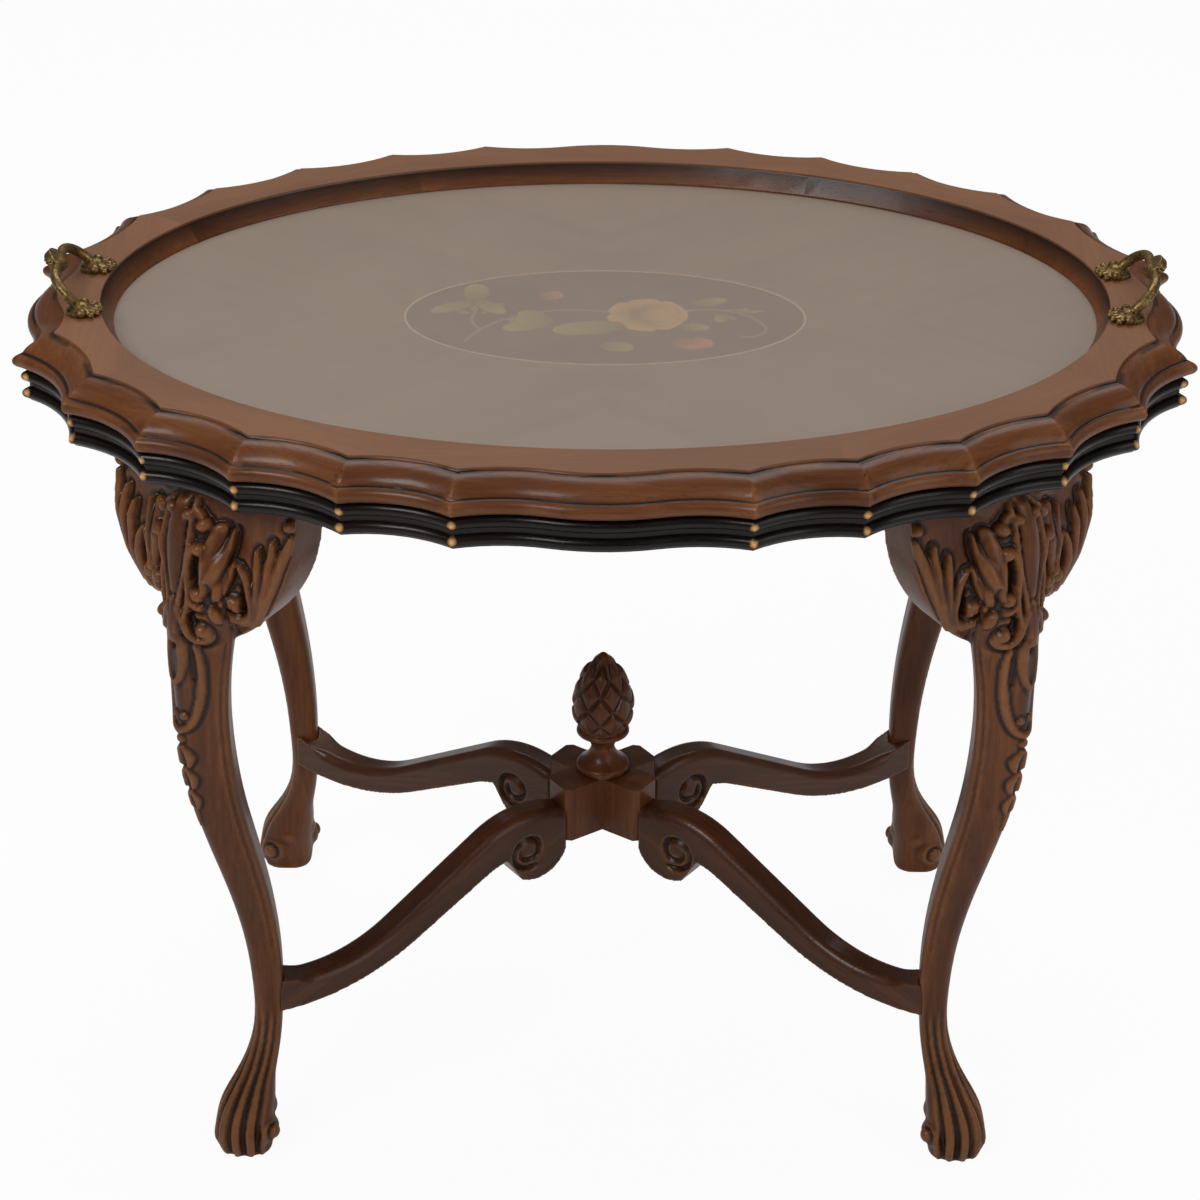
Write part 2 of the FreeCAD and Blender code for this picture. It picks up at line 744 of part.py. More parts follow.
def lens_outline(start, end, fatness):
    """A leaf: two arcs that meet at its ends."""
    middle = (start + end) / 2
    across = Vector(start.y - end.y, end.x - start.x, 0) * (fatness / 2)
    return Part.Wire([Part.Arc(start, middle + across, end).toShape(),
                      Part.Arc(end, middle - across, start).toShape()])


def band_outline(start, middle, end, half_width):
    """A stem: two arcs beside a middle line, squared off at its ends."""
    centre = Vector(Part.Arc(start, middle, end).toShape().Curve.Center)
    sides = []
    for shift in (half_width, -half_width):
        sides.append([p + (p - centre).normalize() * shift for p in (start, middle, end)])
    outer, inner = sides
    return Part.Wire([Part.Arc(*outer).toShape(), Part.LineSegment(outer[2], inner[2]).toShape(),
                      Part.Arc(*inner[::-1]).toShape(), Part.LineSegment(inner[0], outer[0]).toShape()])


def pieces_of(shape):
    return Part.makeCompound(shape.Solids)


def marquetry():
    """The blooms lie whole; leaves are let in round them, stems round both, and the dark ground
    round all three."""
    unit = size("stringing_half_length")
    blooms = [flat_piece(petal_outline(x * unit, y * unit, r * unit, count)) for x, y, r, count in BLOOMS]
    leaves = []
    for xa, ya, xb, yb, fatness in LEAVES:
        wire = lens_outline(Vector(xa * unit, ya * unit, 0), Vector(xb * unit, yb * unit, 0), fatness)
        leaves.append(flat_piece(wire).cut(blooms + leaves))
    stems = []
    for xa, ya, xm, ym, xb, yb in STEMS:
        points = [Vector(x * unit, y * unit, 0) for x, y in ((xa, ya), (xm, ym), (xb, yb))]
        wire = band_outline(*points, STEM_HALF_WIDTH * unit)
        stems.append(flat_piece(wire).cut(blooms + leaves + stems))
    for label, group in (("inlay_blooms", blooms), ("inlay_leaves", leaves), ("inlay_stems", stems)):
        feature(label, pieces_of(Part.makeCompound(group)))
    curve = Part.Ellipse(ORIGIN, GROUND[0].value, GROUND[1].value)
    feature("inlay_ground", pieces_of(flat_piece(Part.Wire(curve.toShape())).cut(blooms + leaves + stems)))


marquetry()


# ---------------------------------------------------------------------------------------------
# Handles and their screws
# ---------------------------------------------------------------------------------------------
def handle(side):
    """A cast handle: two rosettes and a bail that leans outward, with a shell in its middle."""
    base = FLAT.value
    half = size("handle_post_spacing") / 2
    bar, height, rosette = size("handle_bar_radius"), size("rosette_height"), size("rosette_radius")
    foot = Vector(POST_REACH.value, 0, base + height / 2)
    top = Vector(foot.x + size("handle_overhang"), 0, base + size("handle_rise"))
    rise = (top - foot).Length
    lean = (top - foot).normalize()
    across = Vector(0, 1, 0)
    bend = size("handle_bend_radius")

    def at(along, up):
        return foot + across * along + lean * up

    slant = bend * (1 - math.sqrt(0.5))
    edges = []
    for sign in (-1, 1):
        shoulder, knee = at(sign * half, rise - bend), at(sign * (half - bend), rise)
        crook = at(sign * (half - slant), rise - slant)
        edges.append(Part.LineSegment(at(sign * half, 0), shoulder).toShape())
        edges.append(Part.Arc(shoulder, crook, knee).toShape())
    edges.append(Part.LineSegment(at(bend - half, rise), at(half - bend, rise)).toShape())
    bail = Part.Wire(Part.__sortEdges__(edges))
    ring = Part.Wire(Part.Circle(at(-half, 0), lean, bar).toShape())
    parts = [bail.makePipeShell([ring], True, False)]
    for sign in (-1, 1):
        seat = Vector(foot.x, sign * half, base)
        parts.append(Part.makeCylinder(rosette, height / 2, seat))
        parts.append(Part.makeCone(rosette - size("rosette_step"), size("rosette_crown_radius"), height / 2,
                                   seat + UP * (height / 2)))
    face = lean.cross(across)
    thickness = size("shell_thickness")
    shell_middle = at(0, rise + bar / 2) - face * (thickness / 2)
    parts.append(Part.makeCylinder(size("shell_radius"), thickness, shell_middle, face))
    whole = parts[0].fuse(parts[1:])
    for sign in (-1, 1):
        whole = whole.cut(upright(size("screw_radius"), base - OVERCUT, base + size("screw_grip"),
                                  foot.x, sign * half))
    return whole if side == 1 else whole.mirror(ORIGIN, Vector(1, 0, 0))


feature("handle_right", pieces_of(handle(1)))
feature("handle_left", pieces_of(handle(-1)))


def handle_screws():
    """Round-headed screws sunk into the underside of the rim."""
    seat = TABLE_TOP.value + size("screw_recess")
    tip = FLAT.value + size("screw_grip")
    screws = []
    for x, y in handle_posts():
        head = upright(size("screw_head_radius"), seat - size("screw_head_height"), seat, x, y)
        screws.append(head.fuse(upright(size("screw_radius"), seat, tip, x, y)).removeSplitter())
    return Part.makeCompound(screws)


feature("handle_screws", pieces_of(handle_screws()))


# ---------------------------------------------------------------------------------------------
# Table top
# ---------------------------------------------------------------------------------------------
def edge_section():
    """Two beads with a quirk between them."""
    top, bottom = TABLE_TOP.value, size("underside_height")
    quirk, bead, height = size("edge_quirk_reach"), size("edge_bead_reach"), size("edge_bead_height")
    upper, lower = top - size("edge_bead_margin"), bottom + size("edge_bead_margin")
    return [
        ((quirk, top + OVERCUT), (quirk, upper)),
        ((quirk, upper), (bead, upper - height / 2), (quirk, upper - height)),
        ((quirk, upper - height), (quirk, lower + height)),
        ((quirk, lower + height), (bead, lower + height / 2), (quirk, lower)),
        ((quirk, lower), (quirk, bottom - OVERCUT)),
    ]


DOWEL_X = FOOT_X + L("knee_top_out_length")
DOWEL_Y = FOOT_Y + L("knee_top_out_width")


def edge_hollows():
    """The hole the table board fills, and a blind hole over each leg for its dowel."""
    bottom, top = size("underside_height"), TABLE_TOP.value
    hollows = [oval_plate(size("edge_ring_width"), bottom - OVERCUT, top + OVERCUT)]
    for sign_x in (-1, 1):
        for sign_y in (-1, 1):
            hollows.append(upright(size("dowel_radius"), bottom - OVERCUT, bottom + size("dowel_grip"),
                                   sign_x * DOWEL_X.value, sign_y * DOWEL_Y.value))
    return hollows


feature("table_edge", moulded_ring(edge_section(), size("underside_height"), TABLE_TOP.value,
                                   edge_hollows()))
keep(oval("table_board", L("flat_half_length") - L("edge_ring_width"),
          L("flat_half_width") - L("edge_ring_width"), L("underside_height"), L("top_thickness")),
     "table_board")


# ---------------------------------------------------------------------------------------------
# Leg in the back right quarter
# ---------------------------------------------------------------------------------------------
def leg_blank():
    """A cabriole leg lofted through square sections whose corners soften at knee and foot."""
    body = new_body("leg_blank")
    sketches = []
    for station in LEG_STATIONS:
        sketch = sketch_on(body, station + "_section", "XY_Plane")
        for axis, length in (("x", FOOT_X + L(station + "_out_length")),
                             ("y", FOOT_Y + L(station + "_out_width")),
                             ("z", L("underside_height") * 0.01 * size(station + "_height"))):
            sketch.setExpression(f"AttachmentOffset.Base.{axis}", length.expression)
        rounded_square(sketch, L(station + "_side"), L(station + "_corner"))
        sketches.append(sketch)
    loft = body.newObject("PartDesign::AdditiveLoft", "leg_loft")
    loft.Profile = sketches[0]
    loft.Sections = [(sketch, "") for sketch in sketches[1:]]
    loft.Ruled = False
    body.Tip = loft
    return body


LEG = leg_blank()
ANKLE_X = FOOT_X + L("ankle_high_out_length")
ANKLE_Y = FOOT_Y + L("ankle_high_out_width")
ANKLE_REACH = Length(f"sqrt({ANKLE_X.expression}^2 + {ANKLE_Y.expression}^2)",
                     math.hypot(ANKLE_X.value, ANKLE_Y.value))
ARM_TURN = math.degrees(math.atan2(ANKLE_Y.value, ANKLE_X.value))
ARM_END = ANKLE_REACH - L("arm_end_inset")

mortise = box("mortise", L("tenon_length") + L("tenon_clearance") + L("tenon_root"),
              L("tenon_thickness") + L("tenon_clearance") * 2, L("tenon_height") + L("tenon_clearance") * 2,
              ARM_END - L("tenon_root"), as_length(0), L("tenon_centre_height"), ARM_TURN)
dowel_hole = rod("dowel_hole", L("dowel_radius"), L("dowel_length"), DOWEL_X, DOWEL_Y,
                 L("underside_height") + L("dowel_grip") - L("dowel_length"))
leg = boolean("Cut", "leg_drilled", boolean("Cut", "leg_mortised", LEG, mortise), dowel_hole)
mirrored_to_quarters(leg, "leg", ("leg_back_right", "leg_front_right", "leg_back_left", "leg_front_left"))


def dowels():
    """A dowel from each leg up into the moulded edge."""
    top = size("underside_height") + size("dowel_grip")
    pegs = []
    for sign_x in (-1, 1):
        for sign_y in (-1, 1):
            pegs.append(upright(size("dowel_radius"), top - size("dowel_length"), top,
                                sign_x * DOWEL_X.value, sign_y * DOWEL_Y.value))
    return Part.makeCompound(pegs)


feature("leg_dowels", dowels())


# ---------------------------------------------------------------------------------------------
# Knee wings of that leg
# ---------------------------------------------------------------------------------------------
def wing_blank(name, turn, reverse):
    """A bracket under the top whose lower edge sweeps down to the leg. Its outer face starts at
    the knee's ridge and runs towards turn; reverse swaps the side its thickness lies on."""
    body = new_body(name + "_body")
    sketch = sketch_on(body, name + "_profile", "XZ_Plane")
    top = L("underside_height")
    outline(sketch, [
        (as_length(0), top - L("wing_root_depth")),
        (L("wing_root_length"), top - L("wing_root_depth"), L("wing_curve_radius")),
        (L("wing_length"), top - L("wing_tip_depth")),
        (L("wing_length"), top),
        (as_length(0), top),
    ])
    block = pad(body, sketch, L("wing_thickness"))
    block.Reversed = reverse
    body.Placement = Placement(ORIGIN, Rotation(UP, turn))
    bind(body, Placement_Base_x=FOOT_X + L("wing_start_out_length"),
         Placement_Base_y=FOOT_Y + L("wing_start_out_width"))
    return body


long_blank = wing_blank("wing_long", HALF_TURN - size("wing_long_turn"), True)
end_blank = wing_blank("wing_end", size("wing_end_turn") - HALF_TURN / 2, False)
wing_long = boolean("Cut", "wing_long_coped", long_blank, LEG)
wing_end = boolean("Cut", "wing_end_mitred", boolean("Cut", "wing_end_coped", end_blank, LEG), long_blank)
mirrored_to_quarters(wing_long, "wing_long",
                     ("wing_back_right", "wing_front_right", "wing_back_left", "wing_front_left"))
mirrored_to_quarters(wing_end, "wing_end",
                     ("wing_end_back_right", "wing_end_front_right",
                      "wing_end_back_left", "wing_end_front_left"))


# ---------------------------------------------------------------------------------------------
# Stretcher arm to that leg
# ---------------------------------------------------------------------------------------------
def arm_blank():
    """An S-shaped arm in the upright plane from hub to leg. Its upper edge is a valley and a crest
    joined by a tangent, its lower edge a belly and a throat, and it ends in a rolled scroll."""
    body = new_body("arm_blank")
    sketch = sketch_on(body, "arm_profile", "XZ_Plane")
    valley = (L("arm_valley_reach"), L("arm_valley_floor") + L("arm_valley_radius"))
    belly = (L("arm_belly_reach"), L("arm_belly_bottom") + L("arm_belly_radius"))
    crest = (L("arm_crest_reach"), L("arm_crest_top") - L("arm_crest_radius"))
    throat = (L("arm_throat_centre_reach"), L("arm_throat_top") - L("arm_throat_radius"))
    scroll = (L("scroll_reach"), L("scroll_height"))
    seat, end = L("scroll_seat_reach"), ARM_END

    def at(point):
        return Vector(point[0].value, point[1].value, 0)

    def crossing_tangent(low, low_radius, high, high_radius):
        """Where the line that crosses between two circles touches the low one and the high one."""
        run = at(high) - at(low)
        lean = math.atan2(run.y, run.x) + math.acos((low_radius.value + high_radius.value) / run.Length)
        normal = Vector(math.cos(lean), math.sin(lean), 0)
        return at(low) + normal * low_radius.value, at(high) - normal * high_radius.value

    def arc(centre, radius, start, finish):
        ends = [math.atan2(p.y - at(centre).y, p.x - at(centre).x) for p in (start, finish)]
        sketch.addGeometry(Part.ArcOfCircle(Part.Circle(at(centre), UP, radius.value), *ends), False)

    def line(start, finish):
        sketch.addGeometry(Part.LineSegment(start, finish), False)

    def on_circle(centre, radius, x, side):
        offset = x.value - at(centre).x
        return Vector(x.value, at(centre).y + side * math.sqrt(radius.value**2 - offset**2), 0)

    crest_end, valley_start = crossing_tangent(crest, L("arm_crest_radius"),
                                               valley, L("arm_valley_radius"))
    throat_end, belly_start = crossing_tangent(throat, L("arm_throat_radius"),
                                               belly, L("arm_belly_radius"))
    end_top = on_circle(valley, L("arm_valley_radius"), end, -1)
    end_bottom = on_circle(belly, L("arm_belly_radius"), end, -1)
    seat_top = on_circle(crest, L("arm_crest_radius"), seat, 1)
    seat_bottom = on_circle(scroll, L("scroll_radius"), seat, -1)
    roll_end = on_circle(scroll, L("scroll_radius"), L("scroll_end_reach"), -1)
    throat_start = on_circle(throat, L("arm_throat_radius"), L("arm_throat_reach"), 1)

    line(end_bottom, end_top)
    arc(valley, L("arm_valley_radius"), valley_start, end_top)
    line(valley_start, crest_end)
    arc(crest, L("arm_crest_radius"), crest_end, seat_top)
    line(seat_top, seat_bottom)
    arc(scroll, L("scroll_radius"), seat_bottom, roll_end)
    line(roll_end, throat_start)
    arc(throat, L("arm_throat_radius"), throat_end, throat_start)
    line(throat_end, belly_start)
    arc(belly, L("arm_belly_radius"), belly_start, end_bottom)

    tie = sketch.addConstraint
    for edge, place, other, other_place in ((0, 2, 1, 2), (3, 2, 4, 1), (4, 2, 5, 1), (5, 2, 6, 1),
                                            (6, 2, 7, 2), (9, 2, 0, 1)):
        tie(Sketcher.Constraint("Coincident", edge, place, other, other_place))
    for edge, place, other, other_place in ((1, 1, 2, 1), (2, 2, 3, 1), (7, 1, 8, 1), (8, 2, 9, 1)):
        tie(Sketcher.Constraint("Tangent", edge, place, other, other_place))
    tie(Sketcher.Constraint("Vertical", 0))
    tie(Sketcher.Constraint("Vertical", 4))
    for edge, centre, radius in ((1, valley, L("arm_valley_radius")), (3, crest, L("arm_crest_radius")),
                                 (5, scroll, L("scroll_radius")), (7, throat, L("arm_throat_radius")),
                                 (9, belly, L("arm_belly_radius"))):
        pin(sketch, edge, 3, *centre)
        dimension(sketch, "Radius", edge, radius)
    dimension(sketch, "DistanceX", -1, 1, 0, 1, end)
    dimension(sketch, "DistanceX", -1, 1, 4, 1, seat)
    dimension(sketch, "DistanceX", -1, 1, 5, 2, L("scroll_end_reach"))
    dimension(sketch, "DistanceX", -1, 1, 7, 2, L("arm_throat_reach"))
    pad(body, sketch, L("arm_thickness"), both_ways=True)

    eye = Vector(size("volute_reach"), size("volute_height"), 0)
    for side in (1, -1):
        ring = sketch_on(body, "volute_ring", "XZ_Plane")
        ring.setExpression("AttachmentOffset.Base.z", (L("arm_thickness") * (side / 2)).expression)
        for index, radius in enumerate((L("volute_radius"), L("volute_radius") - L("volute_width"))):
            ring.addGeometry(Part.Circle(eye, UP, radius.value), False)
            pin(ring, index, 3, L("volute_reach"), L("volute_height"))
            dimension(ring, "Radius", index, radius)
        groove = body.newObject("PartDesign::Pocket", "volute_groove")
        groove.Profile = ring
        groove.setExpression("Length", L("volute_depth").expression)
        groove.Reversed = side < 0
        body.Tip = groove
    body.Placement = Placement(ORIGIN, Rotation(UP, ARM_TURN))
    return body


tenon = box("arm_tenon", L("tenon_length") + L("tenon_root"), L("tenon_thickness"), L("tenon_height"),
            ARM_END - L("tenon_root"), as_length(0), L("tenon_centre_height"), ARM_TURN)
coped_arm = boolean("Cut", "coped_arm", arm_blank(), LEG)
hub_mortise = box("hub_mortise", L("tenon_length") + L("tenon_clearance"),
                  L("tenon_thickness") + L("tenon_clearance") * 2, L("hub_tenon_height"),
                  L("scroll_seat_reach"), as_length(0), L("scroll_height"), ARM_TURN)
arm = boolean("Fuse", "arm_tenoned", boolean("Cut", "arm_drilled", coped_arm, hub_mortise), tenon)
mirrored_to_quarters(arm, "arm", ("stretcher_back_right", "stretcher_front_right",
                                  "stretcher_back_left", "stretcher_front_left"))


# ---------------------------------------------------------------------------------------------
# Hub, its tenons and the finial
# ---------------------------------------------------------------------------------------------
def hub():
    """Two crossing bars with chamfered ends, mortised for the arms and bored for the finial."""
    reach, half = size("scroll_seat_reach"), size("hub_arm_width") / 2
    chamfer = size("hub_chamfer")
    bottom, height = HUB_BOTTOM.value, size("hub_height")
    plan = [(-reach, half - chamfer), (-reach + chamfer, half),
            (reach - chamfer, half), (reach, half - chamfer)]
    corners = [Vector(x, y, bottom) for x, y in plan]
    corners += [Vector(-p.x, -p.y, bottom) for p in corners]
    bar = Part.Face(Part.makePolygon(corners + corners[:1])).extrude(Vector(0, 0, height))
    bars = [bar.rotated(ORIGIN, UP, turn) for turn in (ARM_TURN, -ARM_TURN)]
    cross = bars[0].fuse(bars[1]).removeSplitter()
    length = size("tenon_length") + size("tenon_clearance")
    across = size("tenon_thickness") + 2 * size("tenon_clearance")
    tall = size("hub_tenon_height")
    middle = size("scroll_height")
    for turn in (ARM_TURN, HALF_TURN - ARM_TURN, HALF_TURN + ARM_TURN, -ARM_TURN):
        slot = Part.makeBox(length, across, tall, Vector(reach - length, -across / 2, middle - tall / 2))
        cross = cross.cut(slot.rotated(ORIGIN, UP, turn))
    bore = upright(size("finial_pin_radius"), size("hub_top") - size("finial_pin_length"),
                   size("hub_top") + OVERCUT, 0, 0)
    return cross.cut(bore)


feature("stretcher_hub", pieces_of(hub()))


def hub_tenons():
    """A loose tenon across each joint between hub and arm."""
    length, across = 2 * size("tenon_length"), size("tenon_thickness")
    tall = size("hub_tenon_height")
    middle = size("scroll_height")
    start = size("scroll_seat_reach") - size("tenon_length")
    tenons = []
    for turn in (ARM_TURN, HALF_TURN - ARM_TURN, HALF_TURN + ARM_TURN, -ARM_TURN):
        block = Part.makeBox(length, across, tall, Vector(start, -across / 2, middle - tall / 2))
        tenons.append(block.rotated(ORIGIN, UP, turn))
    return Part.makeCompound(tenons)


feature("hub_tenons", pieces_of(hub_tenons()))


def finial():
    """A turned pine cone on a necked foot, with a pin that enters the hub."""
    body = new_body("finial_body")
    sketch = sketch_on(body, "finial_profile", "XZ_Plane")
    base = L("hub_top")
    zero = as_length(0)
    outline(sketch, [
        (zero, base - L("finial_pin_length")),
        (L("finial_pin_radius"), base - L("finial_pin_length")),
        (L("finial_pin_radius"), base),
        (L("finial_base_radius"), base, L("finial_base_curve")),
        (L("finial_base_radius"), base + L("finial_base_height"), -L("finial_foot_curve")),
        (L("finial_neck_radius"), base + L("finial_neck_height"), -L("finial_neck_curve")),
        (L("finial_collar_radius"), base + L("finial_collar_height"), L("finial_collar_curve")),
        (L("cone_foot_radius"), base + L("cone_foot_height"), L("cone_foot_curve")),
        (L("cone_radius"), base + L("cone_middle_height"), L("cone_curve")),
        (L("cone_tip_radius"), base + L("finial_height")),
        (zero, base + L("finial_height")),
    ])
    turned = body.newObject("PartDesign::Revolution", "finial_turned")
    turned.Profile = sketch
    turned.ReferenceAxis = (sketch, ["V_Axis"])
    turned.Angle = 360
    body.Tip = turned
    return body


keep(finial(), "finial")

# ---------------------------------------------------------------------------------------------
# Check and write
# ---------------------------------------------------------------------------------------------
doc.recompute()
problems = []
for thing in doc.Objects:
    if "Invalid" in thing.State or "Error" in thing.State:
        problems.append(f"{thing.Label}: {thing.State}")
for node in NODES:
    if node.Shape.isNull() or not node.Shape.isValid() or not node.Shape.Solids:
        problems.append(f"{node.Label}: no valid solid")
if problems:
    raise SystemExit("\n".join(problems))

os.makedirs("parts", exist_ok=True)
for node in NODES:
    node.Shape.exportStep(f"parts/{node.Label}.step")
    print(node.Label, len(node.Shape.Solids), "solid(s)", round(node.Shape.Volume), "mm3")
print(len(NODES), "pieces written")
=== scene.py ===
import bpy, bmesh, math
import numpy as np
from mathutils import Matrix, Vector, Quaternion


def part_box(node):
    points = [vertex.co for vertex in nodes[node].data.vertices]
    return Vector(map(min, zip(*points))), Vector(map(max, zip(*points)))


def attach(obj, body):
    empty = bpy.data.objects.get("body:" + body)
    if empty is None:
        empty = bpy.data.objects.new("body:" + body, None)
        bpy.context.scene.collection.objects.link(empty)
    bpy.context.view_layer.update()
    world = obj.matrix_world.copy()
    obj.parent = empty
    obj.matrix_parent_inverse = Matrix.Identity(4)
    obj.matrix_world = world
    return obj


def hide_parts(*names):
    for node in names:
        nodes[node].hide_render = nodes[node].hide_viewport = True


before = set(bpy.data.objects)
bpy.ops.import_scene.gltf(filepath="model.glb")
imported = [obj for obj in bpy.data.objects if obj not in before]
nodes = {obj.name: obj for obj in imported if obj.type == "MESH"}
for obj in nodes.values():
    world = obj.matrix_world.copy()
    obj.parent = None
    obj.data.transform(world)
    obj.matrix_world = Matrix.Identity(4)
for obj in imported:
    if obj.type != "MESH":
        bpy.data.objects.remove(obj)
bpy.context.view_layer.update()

# %% [markdown]
# # A tray top tea table
# The measured model is already loaded: one mesh for each piece of wood, glass or brass.
# This notebook dresses it for a portrait. Camera and studio come first, then the finishes,
# then the pieces that a carver, a turner or a brass founder would work further by hand.

MM = 0.001


def placed(name, data):
    """A new object, linked into the scene."""
    made = bpy.data.objects.new(name, data)
    bpy.context.scene.collection.objects.link(made)
    return made


def finished(shape, name):
    """Turns modelling data into a new mesh and frees it."""
    mesh = bpy.data.meshes.new(name)
    shape.to_mesh(mesh)
    shape.free()
    return mesh


# %% [markdown]
# ## Camera
# A long lens from far away keeps the ovals calm. The camera stands in front of the table, well
# above the top, and looks down a little so that tray, legs and stretcher all show.

# %% Camera
CAMERA_DISTANCE = 2.6809
CAMERA_ELEVATION = math.radians(28.5)
CAMERA_AZIMUTH = math.radians(0.124)
CAMERA_ROLL = math.radians(0.307)
LENS_MM = 109.3
SENSOR_MM = 36
LENS_SHIFT = (-0.0032, -0.0411)
aim = Vector((0, 0, 0.3965))

camera_data = bpy.data.cameras.new("studio_camera")
camera_data.lens = LENS_MM
camera_data.sensor_width = SENSOR_MM
camera_data.shift_x, camera_data.shift_y = LENS_SHIFT
camera = placed("studio_camera", camera_data)
back = Vector((math.sin(CAMERA_AZIMUTH) * math.cos(CAMERA_ELEVATION),
               -math.cos(CAMERA_AZIMUTH) * math.cos(CAMERA_ELEVATION), math.sin(CAMERA_ELEVATION)))
camera.location = aim + back * CAMERA_DISTANCE
camera.rotation_mode = "QUATERNION"
camera.rotation_quaternion = (-back).to_track_quat("-Z", "Y") @ Quaternion((0, 0, 1), CAMERA_ROLL)
bpy.context.scene.camera = camera
print("camera stands at", tuple(round(c, 3) for c in camera.location))

# %% [markdown]
# ## Studio
# Furniture is shown on a seamless pale sweep under big soft lamps. The sweep is white because it
# shows itself as white to the camera and through glass, not because more light falls on the
# table. Soft lamps high in front and to the left leave long quiet highlights on polished wood.

# %% Small helpers for shader nodes
def node(tree, kind, inputs=None, **settings):
    """Adds a shader node. Each input, by name or number, gets another node's output, a number or
    a colour."""
    made = tree.nodes.new("ShaderNode" + kind)
    for name, value in settings.items():
        setattr(made, name, value)
    for name, value in (inputs or {}).items():
        socket = made.inputs[name]
        if isinstance(value, bpy.types.NodeSocket):
            tree.links.new(value, socket)
        elif socket.type == "RGBA":
            socket.default_value = (*value, 1)
        else:
            socket.default_value = value
    return made


def math_node(tree, operation, first, second=0.0, clamp=False):
    return node(tree, "Math", {0: first, 1: second}, operation=operation, use_clamp=clamp).outputs[0]


def plus(tree, first, second, clamp=False):
    return math_node(tree, "ADD", first, second, clamp)


def times(tree, first, second, clamp=False):
    return math_node(tree, "MULTIPLY", first, second, clamp)


def mixed_shader(tree, amount, first, second):
    return node(tree, "MixShader", {0: amount, 1: first.outputs[0], 2: second.outputs[0]})


def shader_graph(name):
    """An empty node material and its node tree."""
    material = bpy.data.materials.new(name)
    material.use_nodes = True
    material.node_tree.nodes.clear()
    return material, material.node_tree


def show(tree, shader):
    """Sends a shader to the material's output."""
    node(tree, "OutputMaterial", {"Surface": shader.outputs[0]})


# %% World
FILL_LIGHT = 0.32
REFLECTED_FILL = 0.12
world = bpy.data.worlds.new("studio")
bpy.context.scene.world = world
world.use_nodes = True
sky = world.node_tree
sky.nodes.clear()
seen = node(sky, "LightPath").outputs
as_white = math_node(sky, "MAXIMUM", seen["Is Camera Ray"], seen["Is Transmission Ray"])
dimmer = node(sky, "MapRange", {"Value": seen["Is Glossy Ray"], "To Min": FILL_LIGHT,
                                "To Max": REFLECTED_FILL})
strength = node(sky, "MapRange", {"Value": as_white, "To Min": dimmer.outputs[0], "To Max": 1.0})
backdrop = node(sky, "Background", {"Color": (1, 1, 1), "Strength": strength.outputs[0]})
node(sky, "OutputWorld", {"Surface": backdrop.outputs[0]})
bpy.context.scene.view_settings.view_transform = "Standard"


# %% Lamps
def soft_lamp(name, place, aim_height, width, height, watts):
    """A rectangular soft box that looks at a point on the table's axis."""
    lamp = bpy.data.lights.new(name, "AREA")
    lamp.shape = "RECTANGLE"
    lamp.size, lamp.size_y = width, height
    lamp.energy = watts
    holder = placed(name, lamp)
    holder.location = place
    towards = Vector((0, 0, aim_height)) - Vector(place)
    holder.rotation_euler = towards.to_track_quat("-Z", "Y").to_euler()


soft_lamp("key", (-1.5, -1.9, 2.5), 0.45, 1.6, 0.9, 42)
soft_lamp("fill", (1.9, -1.7, 1.5), 0.35, 1.8, 1.8, 16)
soft_lamp("rear", (0.2, 1.5, 3.1), 0.6, 2.8, 1.6, 46)
print("three soft boxes and a world fill of", FILL_LIGHT)

# %% Floor
FLOOR_GLOW = 0.94
FLOOR_HALF = 12
floor_paint, tree = shader_graph("pale_sweep")
paper = node(tree, "BsdfDiffuse", {"Color": (0.86, 0.86, 0.86)})
glow = node(tree, "Emission", {"Color": (1, 1, 1), "Strength": 1.0})
camera_ray = node(tree, "LightPath").outputs["Is Camera Ray"]
show(tree, mixed_shader(tree, times(tree, camera_ray, FLOOR_GLOW), paper, glow))

shape = bmesh.new()
bmesh.ops.create_grid(shape, x_segments=1, y_segments=1, size=FLOOR_HALF)
floor = placed("floor", finished(shape, "floor"))
floor.data.materials.append(floor_paint)
print("floor is", 2 * FLOOR_HALF, "m across")

# %% [markdown]
# ## Finishes
# Nearly all the wood is walnut under a thin, worn polish. Real figure comes from three scales:
# broad waves of dark and light, long fibre streaks, and short dark pores. Each scale is a noise
# that is stretched along the grain. Painted-on values ride in the meshes: `hollow` darkens what
# polish and dust have filled and, where it is read from the shape, also paints shade into the
# hollows; a second value lets pale wood through where hands have rubbed and, where it is read
# from the shape, paints highlights on ridges; a third paints the level flat of the rim paler,
# as bleached wood and as painted top light.


# %% Coordinates, noise and colour
def object_place(tree):
    return node(tree, "TexCoord").outputs["Object"]


def painted(tree, name, output="Fac"):
    return node(tree, "Attribute", attribute_name=name).outputs[output]


def mix_colour(tree, amount, first, second, blend_type="MIX"):
    return node(tree, "Mix", {0: amount, 6: first, 7: second}, data_type="RGBA",
                blend_type=blend_type).outputs[2]


def stretched_noise(tree, coords, scale, detail=3, roughness=0.55, distortion=0.0):
    """Noise whose cell size differs by axis; scale is cells per metre along X, Y and Z."""
    mapping = node(tree, "Mapping", {"Vector": coords, "Scale": scale})
    return node(tree, "TexNoise", {"Vector": mapping.outputs[0], "Scale": 1.0, "Detail": detail,
                                   "Roughness": roughness, "Distortion": distortion}).outputs["Fac"]


def ramp(tree, value, *stops):
    """A colour ramp through (position, (r, g, b)) stops."""
    made = node(tree, "ValToRGB", {"Fac": value})
    elements = made.color_ramp.elements
    while len(elements) < len(stops):
        elements.new(0.5)
    for element, (position, colour) in zip(elements, stops):
        element.position = position
        element.color = (*colour, 1)
    return made.outputs["Color"]


def bumped(tree, height, strength, distance):
    """A normal that a height in the finish tilts; distance is in metres."""
    return node(tree, "Bump", {"Height": height, "Strength": strength,
                               "Distance": distance}).outputs["Normal"]


